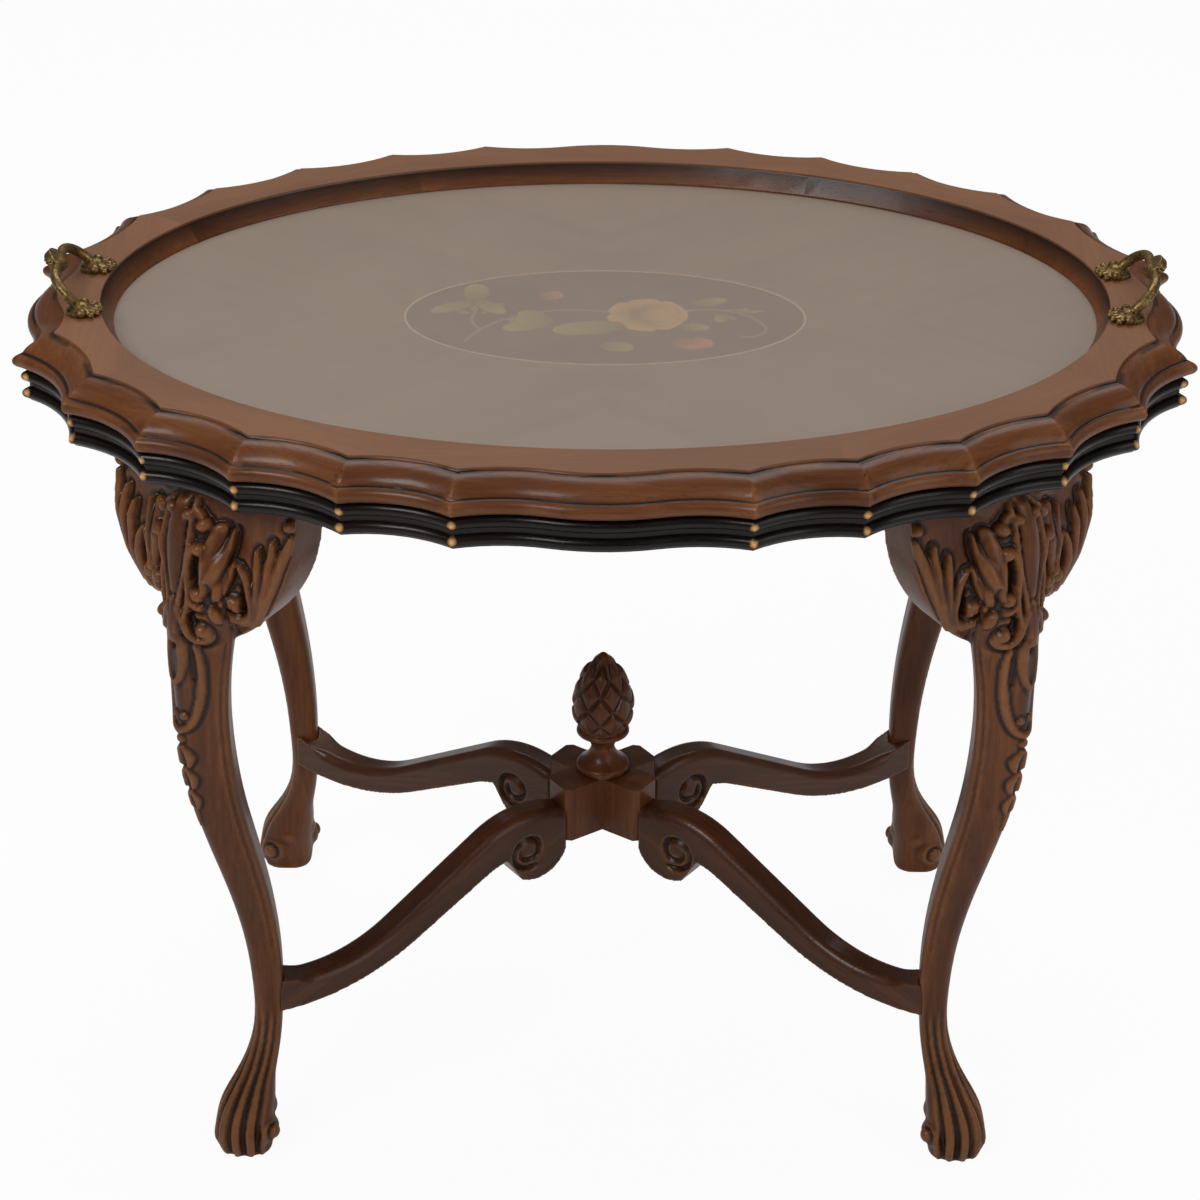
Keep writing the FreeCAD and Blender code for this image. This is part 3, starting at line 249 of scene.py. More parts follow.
# %% Worn spots on the beads
BEAD_CRESTS = (560.5, 572.3)
SPOT_SIZE = 2.7
TIP_GAP_UNIT = 20


def crest_spots(tree, noise):
    """Small worn spots where the tips of the scallops meet the crests of the beads. The meshes
    carry `tip_gap`, the distance to the nearest tip as a share of 20 mm."""
    split = node(tree, "SeparateXYZ", {0: object_place(tree)})
    up = times(tree, split.outputs["Z"], 1000)
    sideways = times(tree, painted(tree, "tip_gap"), TIP_GAP_UNIT)
    reach = times(tree, plus(tree, noise, 0.5), SPOT_SIZE)
    total = 0.0
    for height in BEAD_CRESTS:
        rise = math_node(tree, "SUBTRACT", up, height)
        square = plus(tree, math_node(tree, "POWER", sideways, 2), times(tree, rise, rise))
        gap = math_node(tree, "DIVIDE", math_node(tree, "SQRT", square), reach)
        total = math_node(tree, "MAXIMUM", math_node(tree, "SUBTRACT", 1.2, gap, True), total)
    return total


# %% Walnut
HOLLOW_COLOUR = (0.009, 0.0045, 0.003)
# paler colour for the level flat: bleached wood and painted top light
FADED_AND_TOP_LIT_COLOUR = (0.36, 0.20, 0.12)


def along_axis(axis, along, across):
    """Cells per metre for a grain that runs along one axis."""
    return tuple(along if letter == axis else across for letter in "XYZ")


def walnut(name, dark, middle, light, axis="Z", coords=None, roughness=0.36,
           pale=(0.30, 0.125, 0.04), coat=0.12, worn_crests=False):
    """Polished walnut whose grain runs along an axis of the object, or of the vector attribute
    that coords names. The beads' tips may be rubbed through."""
    material, tree = shader_graph(name)
    place = painted(tree, coords, "Vector") if coords else object_place(tree)
    waves = stretched_noise(tree, place, along_axis(axis, 3.2, 26), 4, 0.6, 0.6)
    fibres = stretched_noise(tree, place, along_axis(axis, 14, 420), 3, 0.6)
    pores = stretched_noise(tree, place, along_axis(axis, 90, 1500), 2, 0.5)
    cloud = stretched_noise(tree, place, (9, 9, 9), 3, 0.5)
    scuffs = stretched_noise(tree, place, (160, 160, 160), 4, 0.65)
    pit = node(tree, "MapRange", {"Value": pores, "From Min": 0.60, "From Max": 0.72}).outputs[0]

    figure = plus(tree, times(tree, waves, 0.72), times(tree, fibres, 0.28))
    colour = ramp(tree, figure, (0.30, dark), (0.5, middle), (0.72, light))
    colour = mix_colour(tree, times(tree, pit, 0.45), colour, HOLLOW_COLOUR)
    clouded = ramp(tree, cloud, (0.3, (0.62, 0.6, 0.58)), (0.7, (1.0, 1.0, 1.0)))
    colour = mix_colour(tree, 0.5, colour, clouded, "MULTIPLY")
    # hollows darkened by polish and dust and, on pieces read from their shape, by painted shade
    colour = mix_colour(tree, times(tree, painted(tree, "hollow"), 0.93), colour, HOLLOW_COLOUR)
    # pale wood where rubbed through and, on pieces read from their shape, painted highlights on ridges
    rubbed_and_highlit = times(tree, painted(tree, "wear_and_highlight"), plus(tree, times(tree, scuffs, 1.3), 0.25, True), True)
    if worn_crests:
        rubbed_and_highlit = math_node(tree, "MAXIMUM", rubbed_and_highlit, crest_spots(tree, scuffs))
    colour = mix_colour(tree, rubbed_and_highlit, colour, pale)
    # the level flat is painted paler, as bleached wood and as painted top light
    colour = mix_colour(tree, times(tree, painted(tree, "faded_and_top_lit"), 0.34), colour, FADED_AND_TOP_LIT_COLOUR)

    dull = plus(tree, times(tree, cloud, 0.16), roughness - 0.08)
    dull = plus(tree, dull, times(tree, pit, 0.18), True)
    relief = math_node(tree, "SUBTRACT", times(tree, fibres, 0.5), pit)
    show(tree, node(tree, "BsdfPrincipled", {
        "Base Color": colour, "Roughness": dull, "Specular IOR Level": 0.22, "Coat Weight": coat,
        "Coat Roughness": 0.16, "Normal": bumped(tree, relief, 0.6, 0.00006)}))
    return material


# %% Woods of this table
carved_walnut = walnut("carved_walnut", (0.040, 0.0115, 0.0035), (0.106, 0.031, 0.0080),
                       (0.215, 0.070, 0.017))
stretcher_walnut = walnut("stretcher_walnut", (0.030, 0.0095, 0.0038), (0.072, 0.0225, 0.0075),
                          (0.140, 0.048, 0.015), axis="X", coords="grain", coat=0.2)
rim_walnut = walnut("rim_walnut", (0.060, 0.018, 0.0055), (0.120, 0.038, 0.0115),
                    (0.195, 0.070, 0.022), axis="X", coords="grain", roughness=0.34)
edge_walnut = walnut("dark_edge_walnut", (0.003, 0.002, 0.0017), (0.006, 0.0036, 0.0026),
                     (0.013, 0.0065, 0.004), axis="X", coords="grain", roughness=0.28,
                     pale=(0.74, 0.38, 0.13), worn_crests=True)
board_wood = walnut("board_underside", (0.055, 0.024, 0.012), (0.11, 0.052, 0.024),
                    (0.17, 0.085, 0.04), axis="X", roughness=0.6, coat=0.0)
hidden_beech = walnut("beech_dowel", (0.30, 0.17, 0.08), (0.42, 0.25, 0.13), (0.55, 0.36, 0.20),
                      roughness=0.6, coat=0.0)

# %% [markdown]
# ## Brass
# Old cast brass is nearly brown in its hollows, where lacquer and dirt stay, and bright gold on
# the ridges that fingers polish. The same `hollow` value drives both the colour and the shine.


# %% Brass, steel
def aged_metal(name, bright, tarnish, roughness):
    material, tree = shader_graph(name)
    place = object_place(tree)
    speckle = stretched_noise(tree, place, (420, 420, 420), 4, 0.65)
    blotches = stretched_noise(tree, place, (60, 60, 60), 3, 0.5)
    specks = times(tree, math_node(tree, "SUBTRACT", speckle, 0.36), 1.8)
    soil = plus(tree, painted(tree, "hollow"), specks, True)
    soil = times(tree, soil, plus(tree, blotches, 0.6), True)
    show(tree, node(tree, "BsdfPrincipled", {
        "Metallic": 0.9, "Base Color": mix_colour(tree, soil, bright, tarnish),
        "Roughness": plus(tree, times(tree, soil, 0.35), roughness, True),
        "Normal": bumped(tree, speckle, 0.5, 0.00012)}))
    return material


old_brass = aged_metal("old_brass", (0.44, 0.28, 0.10), (0.028, 0.017, 0.008), 0.27)
plain_steel = aged_metal("screw_steel", (0.42, 0.40, 0.37), (0.12, 0.11, 0.10), 0.35)

# %% [markdown]
# ## Veneer, glass and marquetry
# The panel is quarter matched: four leaves from one flitch, opened like a book both ways, so the
# figure runs as a V in each quarter and meets on the two centre lines. Taking the absolute value
# of X and Y does the folding. Over it lies glass with years of haze, so it shines softly and
# lifts everything under it towards grey.


# %% Veneer folded into quarters
def veneer(name, dark, light, turn):
    """Striped veneer, folded onto one quarter and turned by so many degrees."""
    material, tree = shader_graph(name)
    folded = node(tree, "VectorMath", {0: object_place(tree)}, operation="ABSOLUTE").outputs[0]
    place = node(tree, "Mapping", {"Vector": folded, "Rotation": (0, 0, math.radians(turn))}).outputs[0]
    stripes = stretched_noise(tree, place, (2.5, 34, 1), 4, 0.6, 0.4)
    fibres = stretched_noise(tree, place, (5, 260, 1), 3, 0.6)
    figure = plus(tree, times(tree, stripes, 0.65), times(tree, fibres, 0.35))
    show(tree, node(tree, "BsdfPrincipled", {
        "Base Color": ramp(tree, figure, (0.32, dark), (0.68, light)),
        "Roughness": plus(tree, times(tree, fibres, 0.2), 0.38)}))
    return material


quartered_veneer = veneer("quartered_veneer", (0.105, 0.055, 0.031), (0.255, 0.160, 0.100), -36)
dark_ground = veneer("dark_ground_veneer", (0.020, 0.014, 0.014), (0.040, 0.028, 0.026), 12)
box_string = veneer("boxwood_string", (0.62, 0.46, 0.27), (0.78, 0.60, 0.38), 0)
plywood = veneer("plywood_core", (0.26, 0.17, 0.09), (0.38, 0.26, 0.15), 0)


# %% Petal and leaf woods
def shaded_wood(name, deep, bright):
    """A dyed veneer that is scorched in hot sand towards its base, where `shade` is near 0."""
    material, tree = shader_graph(name)
    fibres = stretched_noise(tree, object_place(tree), (60, 500, 1), 3, 0.6)
    streaks = times(tree, math_node(tree, "SUBTRACT", fibres, 0.5), 0.5)
    level = plus(tree, painted(tree, "shade"), streaks, True)
    show(tree, node(tree, "BsdfPrincipled", {
        "Base Color": mix_colour(tree, level, deep, bright), "Roughness": 0.4}))
    return material


yellow_petal = shaded_wood("yellow_petal", (0.22, 0.10, 0.02), (0.80, 0.46, 0.12))
red_petal = shaded_wood("red_petal", (0.22, 0.04, 0.02), (0.70, 0.20, 0.10))
green_leaf = shaded_wood("green_leaf", (0.10, 0.085, 0.014), (0.46, 0.38, 0.08))
stem_wood = shaded_wood("stem_wood", (0.30, 0.25, 0.10), (0.42, 0.36, 0.16))

# %% Hazy glass
LEAST_HAZE, MOST_HAZE = 0.46, 0.58
MOST_SHINE = 0.09
glass_pane, tree = shader_graph("hazy_glass")
clear = node(tree, "BsdfTransparent", {"Color": (0.93, 0.94, 0.93)})
haze = node(tree, "BsdfDiffuse", {"Color": (0.42, 0.33, 0.26)})
shine = node(tree, "BsdfGlossy", {"Roughness": 0.32})
dust = stretched_noise(tree, object_place(tree), (14, 14, 14), 4, 0.55)
haze_share = node(tree, "MapRange", {"Value": dust, "To Min": LEAST_HAZE, "To Max": MOST_HAZE})
outer_side = math_node(tree, "SUBTRACT", 1.0, node(tree, "NewGeometry").outputs["Backfacing"])
film = mixed_shader(tree, times(tree, haze_share.outputs[0], outer_side), clear, haze)
mirror = node(tree, "Fresnel", {"IOR": 1.35})
shallow = math_node(tree, "MINIMUM", mirror.outputs[0], MOST_SHINE)
show(tree, mixed_shader(tree, times(tree, shallow, outer_side), film, shine))
print("finishes:", len(bpy.data.materials))

# %% [markdown]
# ## Working on copies
# The measured meshes are loose triangles and stay untouched. A piece that needs softer edges or
# carving is worked on a merged copy, and the copy then stands for the measured piece. Merging the
# doubled points first lets smoothing and remeshing see one skin.


# %% Merged copies
def joined(*names):
    """The meshes of these pieces together, with doubled points merged, ready for modelling."""
    shape = bmesh.new()
    for node_name in names:
        shape.from_mesh(nodes[node_name].data)
    bmesh.ops.remove_doubles(shape, verts=shape.verts, dist=0.00001)
    return shape


def merged_copy(name, node_name):
    return finished(joined(node_name), name)


# %% Placing a piece
def outline_flats(mesh):
    """Marks the outline of every level flat as sharp, so that its shading stays even."""
    level = {}
    for face in mesh.polygons:
        for key in face.edge_keys:
            level.setdefault(key, set()).add(abs(face.normal.z) > 0.9999)
    for edge in mesh.edges:
        if len(level[edge.key]) == 2:
            edge.use_edge_sharp = True


def as_piece(name, mesh, material, body, stands_for=(), crease=None):
    """Puts a finished mesh into the scene as a piece that rides on a body. A crease angle in
    degrees makes it smooth everywhere but at sharper edges."""
    piece = placed(name, mesh)
    mesh.materials.clear()
    mesh.materials.append(material)
    if crease is not None:
        mesh.shade_smooth()
        if crease < 180:
            mesh.set_sharp_from_angle(angle=math.radians(crease))
            outline_flats(mesh)
            even = piece.modifiers.new("even_shading", "WEIGHTED_NORMAL")
            even.keep_sharp = True
    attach(piece, body)
    if stands_for:
        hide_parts(*stands_for)


# %% Reading, moving and painting vertices
def vertex_vectors(mesh, kind):
    flat = np.empty(len(mesh.vertices) * 3)
    mesh.vertices.foreach_get(kind, flat)
    return flat.reshape(-1, 3)


def points_of(mesh):
    """All vertex places of a mesh as an array, in millimetres."""
    return vertex_vectors(mesh, "co") * 1000


def put_points(mesh, places):
    """Moves every vertex to its place in millimetres."""
    mesh.vertices.foreach_set("co", (places * MM).ravel())
    mesh.update()


def paint(mesh, name, values):
    """Stores one number for each vertex under a name that the finishes read."""
    layer = mesh.attributes.get(name) or mesh.attributes.new(name, "FLOAT", "POINT")
    layer.data.foreach_set("value", np.clip(values, 0, 1).astype(np.float32))


# %% Even nets and soft edges
def remeshed(mesh, voxel_mm):
    """The same skin as an even net of small quads, with the modifier's result made real."""
    holder = placed("remesh_holder", mesh)
    net = holder.modifiers.new("net", "REMESH")
    net.mode = "VOXEL"
    net.voxel_size = voxel_mm * MM
    graph = bpy.context.evaluated_depsgraph_get()
    result = bpy.data.meshes.new_from_object(holder.evaluated_get(graph))
    bpy.data.objects.remove(holder)
    return result


def softened(mesh, rounds, factor=0.5):
    """Rounds a mesh a little by letting each vertex settle between its neighbours."""
    shape = bmesh.new()
    shape.from_mesh(mesh)
    for _ in range(rounds):
        bmesh.ops.smooth_vert(shape, verts=shape.verts, factor=factor, use_axis_x=True,
                              use_axis_y=True, use_axis_z=True)
    shape.to_mesh(mesh)
    shape.free()


def step(low, high, values):
    """A smooth step from 0 below low to 1 above high."""
    t = np.clip((values - low) / (high - low), 0, 1)
    return t * t * (3 - 2 * t)

# %% [markdown]
# ## Reading hollows and ridges
# Polish and dirt stay in hollows, and rubbing brightens ridges. Both can be read from the shape:
# let a copy of the surface relax, as if it were melting, and see where the real surface lies
# below the melted one (a hollow) or above it (a ridge). The result is painted on the vertices,
# and besides dirt and wear it paints shade into the hollows and highlights onto the ridges.


# %% Relaxing a surface
def neighbour_average(mesh, values, rounds):
    """Averages values over each vertex's neighbours again and again."""
    ends = np.empty(len(mesh.edges) * 2, dtype=np.int64)
    mesh.edges.foreach_get("vertices", ends)
    first, second = ends[0::2], ends[1::2]
    count = len(mesh.vertices)
    degree = np.maximum(np.bincount(first, minlength=count) + np.bincount(second, minlength=count), 1)
    values = values.reshape(count, -1).astype(float)
    for _ in range(rounds):
        total = np.empty_like(values)
        for column in range(values.shape[1]):
            total[:, column] = (np.bincount(first, weights=values[second, column], minlength=count)
                                + np.bincount(second, weights=values[first, column], minlength=count))
        values = 0.5 * values + 0.5 * total / degree[:, None]
    return values


def paint_by_shape(mesh, depth, rounds, ridge_wear_and_highlight, extra_hollow=0.0):
    """Paints hollow, as dirt and painted shade, and rubbed ridges with painted highlights from the
    shape; depth in millimetres is a full hollow.
    """
    places = points_of(mesh)
    melted = neighbour_average(mesh, places, rounds)
    below = ((melted - places) * vertex_vectors(mesh, "normal")).sum(axis=1)
    # dirt and painted shade where the surface lies below the melted one
    paint(mesh, "hollow", step(0.08, 1.0, below / depth) + extra_hollow)
    # wear and painted highlights where the surface stands above it
    paint(mesh, "wear_and_highlight", ridge_wear_and_highlight * step(0.25, 1.2, -below / depth))


# %% [markdown]
# ## Tray rim and table edge
# Both mouldings were run on eight segments of wood and glued at the tips of the scallops. The
# grain follows each segment, so every face carries its own turned copy of the coordinates. The
# tips stick out and are knocked first: there the dark polish of the lower edge has worn to gold.
# Each vertex stores its distance to the nearest tip, and the finish turns that into small spots.

# %% Tips of the scallops
OVAL = np.array([393.6, 280.9])
LOBES = (187.8, 140.0)
SCALLOPS = 5


def scallop_tips():
    """The tips in one quarter at equal steps round the oval, from the long side to the end."""
    first = math.acos(LOBES[0] / 2 / OVAL[0])
    last = math.asin(LOBES[1] / 2 / OVAL[1])
    turn = np.linspace(first, last, 501)
    line = np.stack([OVAL[0] * np.cos(turn), OVAL[1] * np.sin(turn)], axis=1)
    run = np.concatenate([[0], np.cumsum(np.linalg.norm(np.diff(line, axis=0), axis=1))])
    return np.array([line[np.argmin(abs(run - run[-1] * k / SCALLOPS))] for k in range(SCALLOPS + 1)])


TIPS = scallop_tips()
print("tips of one quarter in mm:", TIPS.round(1).tolist())


def outward_at(spots):
    """Directions square to the oval at these places."""
    slope = spots / OVAL**2
    return slope / np.linalg.norm(slope, axis=-1, keepdims=True)


def distance_to_tips(places):
    """How far each point lies, in millimetres, from the nearest line through a tip."""
    flat = abs(places[:, :2])
    best = np.full(len(places), 1e9)
    for tip, out in zip(TIPS, outward_at(TIPS)):
        offset = flat - tip
        best = np.minimum(best, abs(offset[:, 0] * out[1] - offset[:, 1] * out[0]))
    return best


def reach_of(places):
    """How far each point lies outside the flat top's oval, in millimetres."""
    flat = places[:, :2]
    share = np.sqrt(((flat / OVAL) ** 2).sum(axis=1))
    return (share - 1) * np.linalg.norm(flat, axis=1) / np.maximum(share, 1e-6)


# %% Grain of each segment
CORNER_TURN = 0.59
SEED_STEP = (3.1, 0.37)


def segment_grain(mesh, shift=0.0):
    """Stores turned coordinates on every face corner, so that grain runs along its segment."""
    layer = mesh.attributes.new("grain", "FLOAT_VECTOR", "CORNER")
    corners = np.empty(len(mesh.loops) * 3)
    places = points_of(mesh) * MM
    long_joint, end_joint = TIPS[1] * MM, TIPS[-2] * MM
    for face in mesh.polygons:
        middle = np.array(face.center[:2])
        x, y = abs(middle)
        sign_x, sign_y = math.copysign(1, middle[0]), math.copysign(1, middle[1])
        if x * long_joint[1] < y * long_joint[0]:
            turn, seed = 0.0, 1 + (sign_y > 0)
        elif x * end_joint[1] > y * end_joint[0]:
            turn, seed = math.pi / 2, 3 + (sign_x > 0)
        else:
            turn, seed = -CORNER_TURN * sign_x * sign_y, 5 + (sign_x > 0) + 2 * (sign_y > 0)
        cos, sin = math.cos(-turn), math.sin(-turn)
        for loop in face.loop_indices:
            px, py, pz = places[mesh.loops[loop].vertex_index]
            corners[3 * loop:3 * loop + 3] = (px * cos - py * sin + SEED_STEP[0] * seed + shift,
                                              px * sin + py * cos + SEED_STEP[1] * seed, pz)
    layer.data.foreach_set("vector", corners.astype(np.float32))


# %% Rim
QUIRK_DEPTH, STEP_DEPTH, FLAT_WIDTH = 2.3, 14.0, 36.6
LEVEL_BAND = 0.4
rim = merged_copy("rim_mesh", "tray_rim")
spots = points_of(rim)
tip_gap = distance_to_tips(spots)
reach = reach_of(spots)
flat_top = spots[:, 2].max()
below_top = flat_top - spots[:, 2]
at_quirk = abs(below_top - QUIRK_DEPTH) < LEVEL_BAND
beside_flat = (abs(reach) < 4) | (abs(reach + FLAT_WIDTH) < 3)
quirks = at_quirk & beside_flat
steps = (abs(below_top - STEP_DEPTH) < LEVEL_BAND) & (reach > 8)
paint(rim, "hollow", 0.95 * (quirks | steps))
paint(rim, "wear_and_highlight", 0.35 * (1 - step(0.2, 2.5, tip_gap)) * step(3, 21, reach))
paint(rim, "tip_gap", tip_gap / TIP_GAP_UNIT)
# the level flat is painted paler: bleached wood and painted top light
paint(rim, "faded_and_top_lit", below_top < LEVEL_BAND)
segment_grain(rim)
as_piece("rim", rim, rim_walnut, "tray", ["tray_rim"], 32)
print("rim faces", len(rim.polygons))

# %% Lower edge
edge = merged_copy("edge_mesh", "table_edge")
spots = points_of(edge)
paint(edge, "tip_gap", distance_to_tips(spots) / TIP_GAP_UNIT)
print("lower edge from", spots[:, 2].min(), "to", spots[:, 2].max(), "mm; beads crest at", BEAD_CRESTS)
segment_grain(edge, 7.7)
as_piece("lower_edge", edge, edge_walnut, "table", ["table_edge"], 32)
print("lower edge faces", len(edge.polygons))

# %% [markdown]
# ## Glass
# The pane is a plain oval with its arris taken off, lying on the veneer in its rebate. A circle
# stretched to an oval, extruded upward and bevelled, is all it needs.

# %% Thickness and eased edges
def thicken(shape, faces, thickness):
    """Extrudes flat faces upward into a plate; thickness in millimetres."""
    raised = bmesh.ops.extrude_face_region(shape, geom=faces)
    lifted = [item for item in raised["geom"] if isinstance(item, bmesh.types.BMVert)]
    bmesh.ops.translate(shape, vec=(0, 0, thickness * MM), verts=lifted)


def ease_edges(shape, offset, crease):
    """Bevels each edge that turns by more than crease, in radians; offset in millimetres."""
    sharp = [e for e in shape.edges if len(e.link_faces) == 2 and e.calc_face_angle() > crease]
    bmesh.ops.bevel(shape, geom=sharp, offset=offset * MM, offset_type="OFFSET", segments=2,
                    profile=0.5, affect="EDGES", material=-1, clamp_overlap=True)


# %% Glass pane
def oval_plate(name, half_length, half_width, low, high, arris):
    """An oval sheet with softened edges, in millimetres."""
    shape = bmesh.new()
    bmesh.ops.create_circle(shape, cap_ends=True, segments=192, radius=1)
    bmesh.ops.scale(shape, vec=(half_length * MM, half_width * MM, 1), verts=shape.verts)
    bmesh.ops.translate(shape, vec=(0, 0, low * MM), verts=shape.verts)
    thicken(shape, list(shape.faces), high - low)
    bmesh.ops.recalc_face_normals(shape, faces=shape.faces)
    ease_edges(shape, arris, crease=1.0)
    return finished(shape, name)


ARRIS = 0.3
low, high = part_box("tray_glass")
half_length, half_width, top = [side / MM for side in high]
pane_mesh = oval_plate("pane_mesh", half_length, half_width, low[2] / MM + ARRIS, top, ARRIS)
as_piece("glass_pane", pane_mesh, glass_pane, "tray", ["tray_glass"], 30)
print("glass is", round((high[0] - low[0]) * 1000), "by", round((high[1] - low[1]) * 1000), "mm")

# %% [markdown]
# ## Veneers and hidden pieces
# Flat veneers, the core, the board, the dowels and the screws have the right shape already. They
# only need their own finish.


# %% Finishes on measured pieces
QUARTERS = (("back_right", 1, 1), ("front_right", 1, -1), ("back_left", -1, 1),
            ("front_left", -1, -1))


def dress(material, *names):
    for node_name in names:
        slots = nodes[node_name].data.materials
        slots.clear()
        slots.append(material)


dress(quartered_veneer, *["veneer_" + quarter for quarter, *_ in QUARTERS])
dress(dark_ground, "inlay_ground")
dress(box_string, "inlay_stringing")
dress(plywood, "tray_panel")
dress(board_wood, "table_board")
dress(hidden_beech, "leg_dowels", "hub_tenons")
dress(plain_steel, "handle_screws")
dress(stem_wood, "inlay_stems")

# %% [markdown]
# ## Flowers
# The marquetry cutter saws petals and leaves from dyed veneers and dips one edge of each in hot
# sand, which scorches it brown, so a flat petal looks curled. Each petal here is a thin plate
# with a pointed or round outline, and `shade` runs from near 0 at its scorched base to 1 at its tip.

# %% Petals and leaves
INLAY_LOW, INLAY_HIGH = 585.4, 586.02
STEP_UP = 0.006
SCORCHED = 0.08


def petal(shape, layer, base, tip, half_width, roundness, lift):
    """A plate that swells between base and tip, both (x, y) in millimetres."""
    points = 26
    base, tip = Vector(base), Vector(tip)
    run = tip - base
    side = Vector((-run.y, run.x)).normalized() * half_width
    outline = []
    for k in range(points):
        turn = 2 * math.pi * k / points
        along = 0.5 - 0.5 * math.cos(turn)
        wave = math.copysign(abs(math.sin(turn)) ** (2 - roundness), math.sin(turn))
        spot = base + run * along + side * wave
        vertex = shape.verts.new((spot.x * MM, spot.y * MM, INLAY_LOW * MM))
        vertex[layer] = SCORCHED + (1 - SCORCHED) * along
        outline.append(vertex)
    thicken(shape, [shape.faces.new(outline)], INLAY_HIGH + lift - INLAY_LOW)


def flowers(name, material, stands_for, petals):
    """One piece of marquetry from (base, tip, half width, roundness) rows, each a little higher."""
    shape = bmesh.new()
    layer = shape.verts.layers.float.new("shade")
    for number, outline in enumerate(petals):
        petal(shape, layer, *outline, STEP_UP * number)
    bmesh.ops.recalc_face_normals(shape, faces=shape.faces)
    as_piece(name, finished(shape, name), material, "tray", stands_for)


YELLOW = [((30, 3), (30 + 29 * math.cos(t), 3 + 27 * math.sin(t)), 13, 1.5)
          for t in np.radians([150, 205, 95, 260, 40, 315, 0])]
YELLOW += [((24, 3), (50, 12), 9, 1.4), ((24, 3), (50, -6), 9, 1.4), ((18, 3), (44, 3), 9, 1.4)]
RED = [((47, -44), (76, -44), 8.5, 1.5), ((50, -46), (64, -50), 5, 1.3), ((56, -42), (72, -39), 5, 1.3),
       ((-46, 33), (-31, 38), 7, 1.5)]
EYE = [((44, 3), (53, 5), 4.5, 1.3), ((-30, 33), (-14, 36), 6, 1.2),
       ((-26, 38), (-17, 42), 3, 1.2)]
GREEN = [((-37, -6), (-72, -22), 9, 1), ((-42, 0), (-62, 6), 7, 0.9), ((-38, -4), (-64, -6), 9, 0.8),
         ((14, -14), (-37, -24), 11, 1.1), ((-3, -48), (20, -52), 8, 1.1),
         ((53, -16), (74, -18), 6, 0.9), ((63, 22), (87, 30), 6, 0.8), ((86, 6), (80, -8), 5, 1),
         ((92, 6), (102, 15), 2.4, 0.9), ((96, 8), (113, 11), 2.4, 0.9),
         ((-93, 24), (-124, 6), 7, 0.9), ((-92, 26), (-72, 4), 7, 0.9), ((-93, 26), (-93, 54), 9, 1.2)]
flowers("yellow_bloom", yellow_petal, ["inlay_blooms"], YELLOW)
flowers("red_blooms", red_petal, (), RED)
flowers("dark_eyes", dark_ground, (), EYE)
flowers("green_leaves", green_leaf, ["inlay_leaves"], GREEN)
print("petals and leaves:", len(YELLOW) + len(RED) + len(EYE) + len(GREEN))

# %% [markdown]
# ## A carver's pattern
# The knees carry scrolls, a cartouche and a long leaf that trails down the leg. A carver draws
# half of the pattern on paper, pricks it through on one side of the knee's ridge, turns it over
# and pricks the other side. The pattern here works alike. Each stroke is a line of points
# (sideways from the ridge, height, half width) in millimetres. Raised strokes are round beads,
# and sunk ones are gouge cuts. The leg becomes an even net of quads, and each vertex moves along
# its own normal by what the strokes say.


# %% Strokes
def flowing(stroke, steps=4):
    """The same stroke with points added along a smooth curve through it."""
    if len(stroke) < 3:
        return stroke * 2 if len(stroke) == 1 else stroke
    spots = np.array([stroke[0], *stroke, stroke[-1]])
    line = []
    for k in range(1, len(spots) - 2):
        a, b, c, d = spots[k - 1:k + 3]
        for t in np.arange(steps) / steps:
            line.append(0.5 * (2 * b + (c - a) * t + (2 * a - 5 * b + 4 * c - d) * t * t
                               + (3 * b - a - 3 * c + d) * t**3))
    return line + [spots[-2]]


def stroke_cover(across, up, stroke, wider):
    """Two values for each point: how far it lies from the stroke's middle line in half widths,
    and how many millimetres it lies outside the stroke's edge."""
    share, outside = np.full(len(across), 9.0), np.full(len(across), 99.0)
    line = flowing(stroke)
    for (x0, y0, h0), (x1, y1, h1) in zip(line, line[1:]):
        run_x, run_y = x1 - x0, y1 - y0
        length = max(run_x * run_x + run_y * run_y, 1e-9)
        t = np.clip(((across - x0) * run_x + (up - y0) * run_y) / length, 0, 1)
        gap = np.hypot(across - x0 - t * run_x, up - y0 - t * run_y)
        half = (h0 + t * (h1 - h0)) * wider
        share = np.minimum(share, gap / half)
        outside = np.minimum(outside, gap - half)
    return share, outside


def relief(across, up, raised, sunk, wider, ground, ground_reach):
    """Height of the carving over the plain surface, and how much of it is sunk ground."""
    proud, cut, moat = np.zeros((3, len(across)))
    for height, stroke in raised:
        share, outside = stroke_cover(across, up, stroke, wider)
        proud = np.maximum(proud, height * np.clip(1 - share**2, 0, 1) ** 0.6)
        moat = np.maximum(moat, np.clip(1 - outside / ground_reach, 0, 1))
    for depth, stroke in sunk:
        share, _ = stroke_cover(across, up, stroke, wider)
        cut = np.maximum(cut, depth * np.clip(1 - share**2, 0, 1) ** 0.6)
    moat = moat * (1 - step(0.0, 1.2, proud))
    return proud - cut - ground * moat, np.clip(moat + cut / 2, 0, 1)


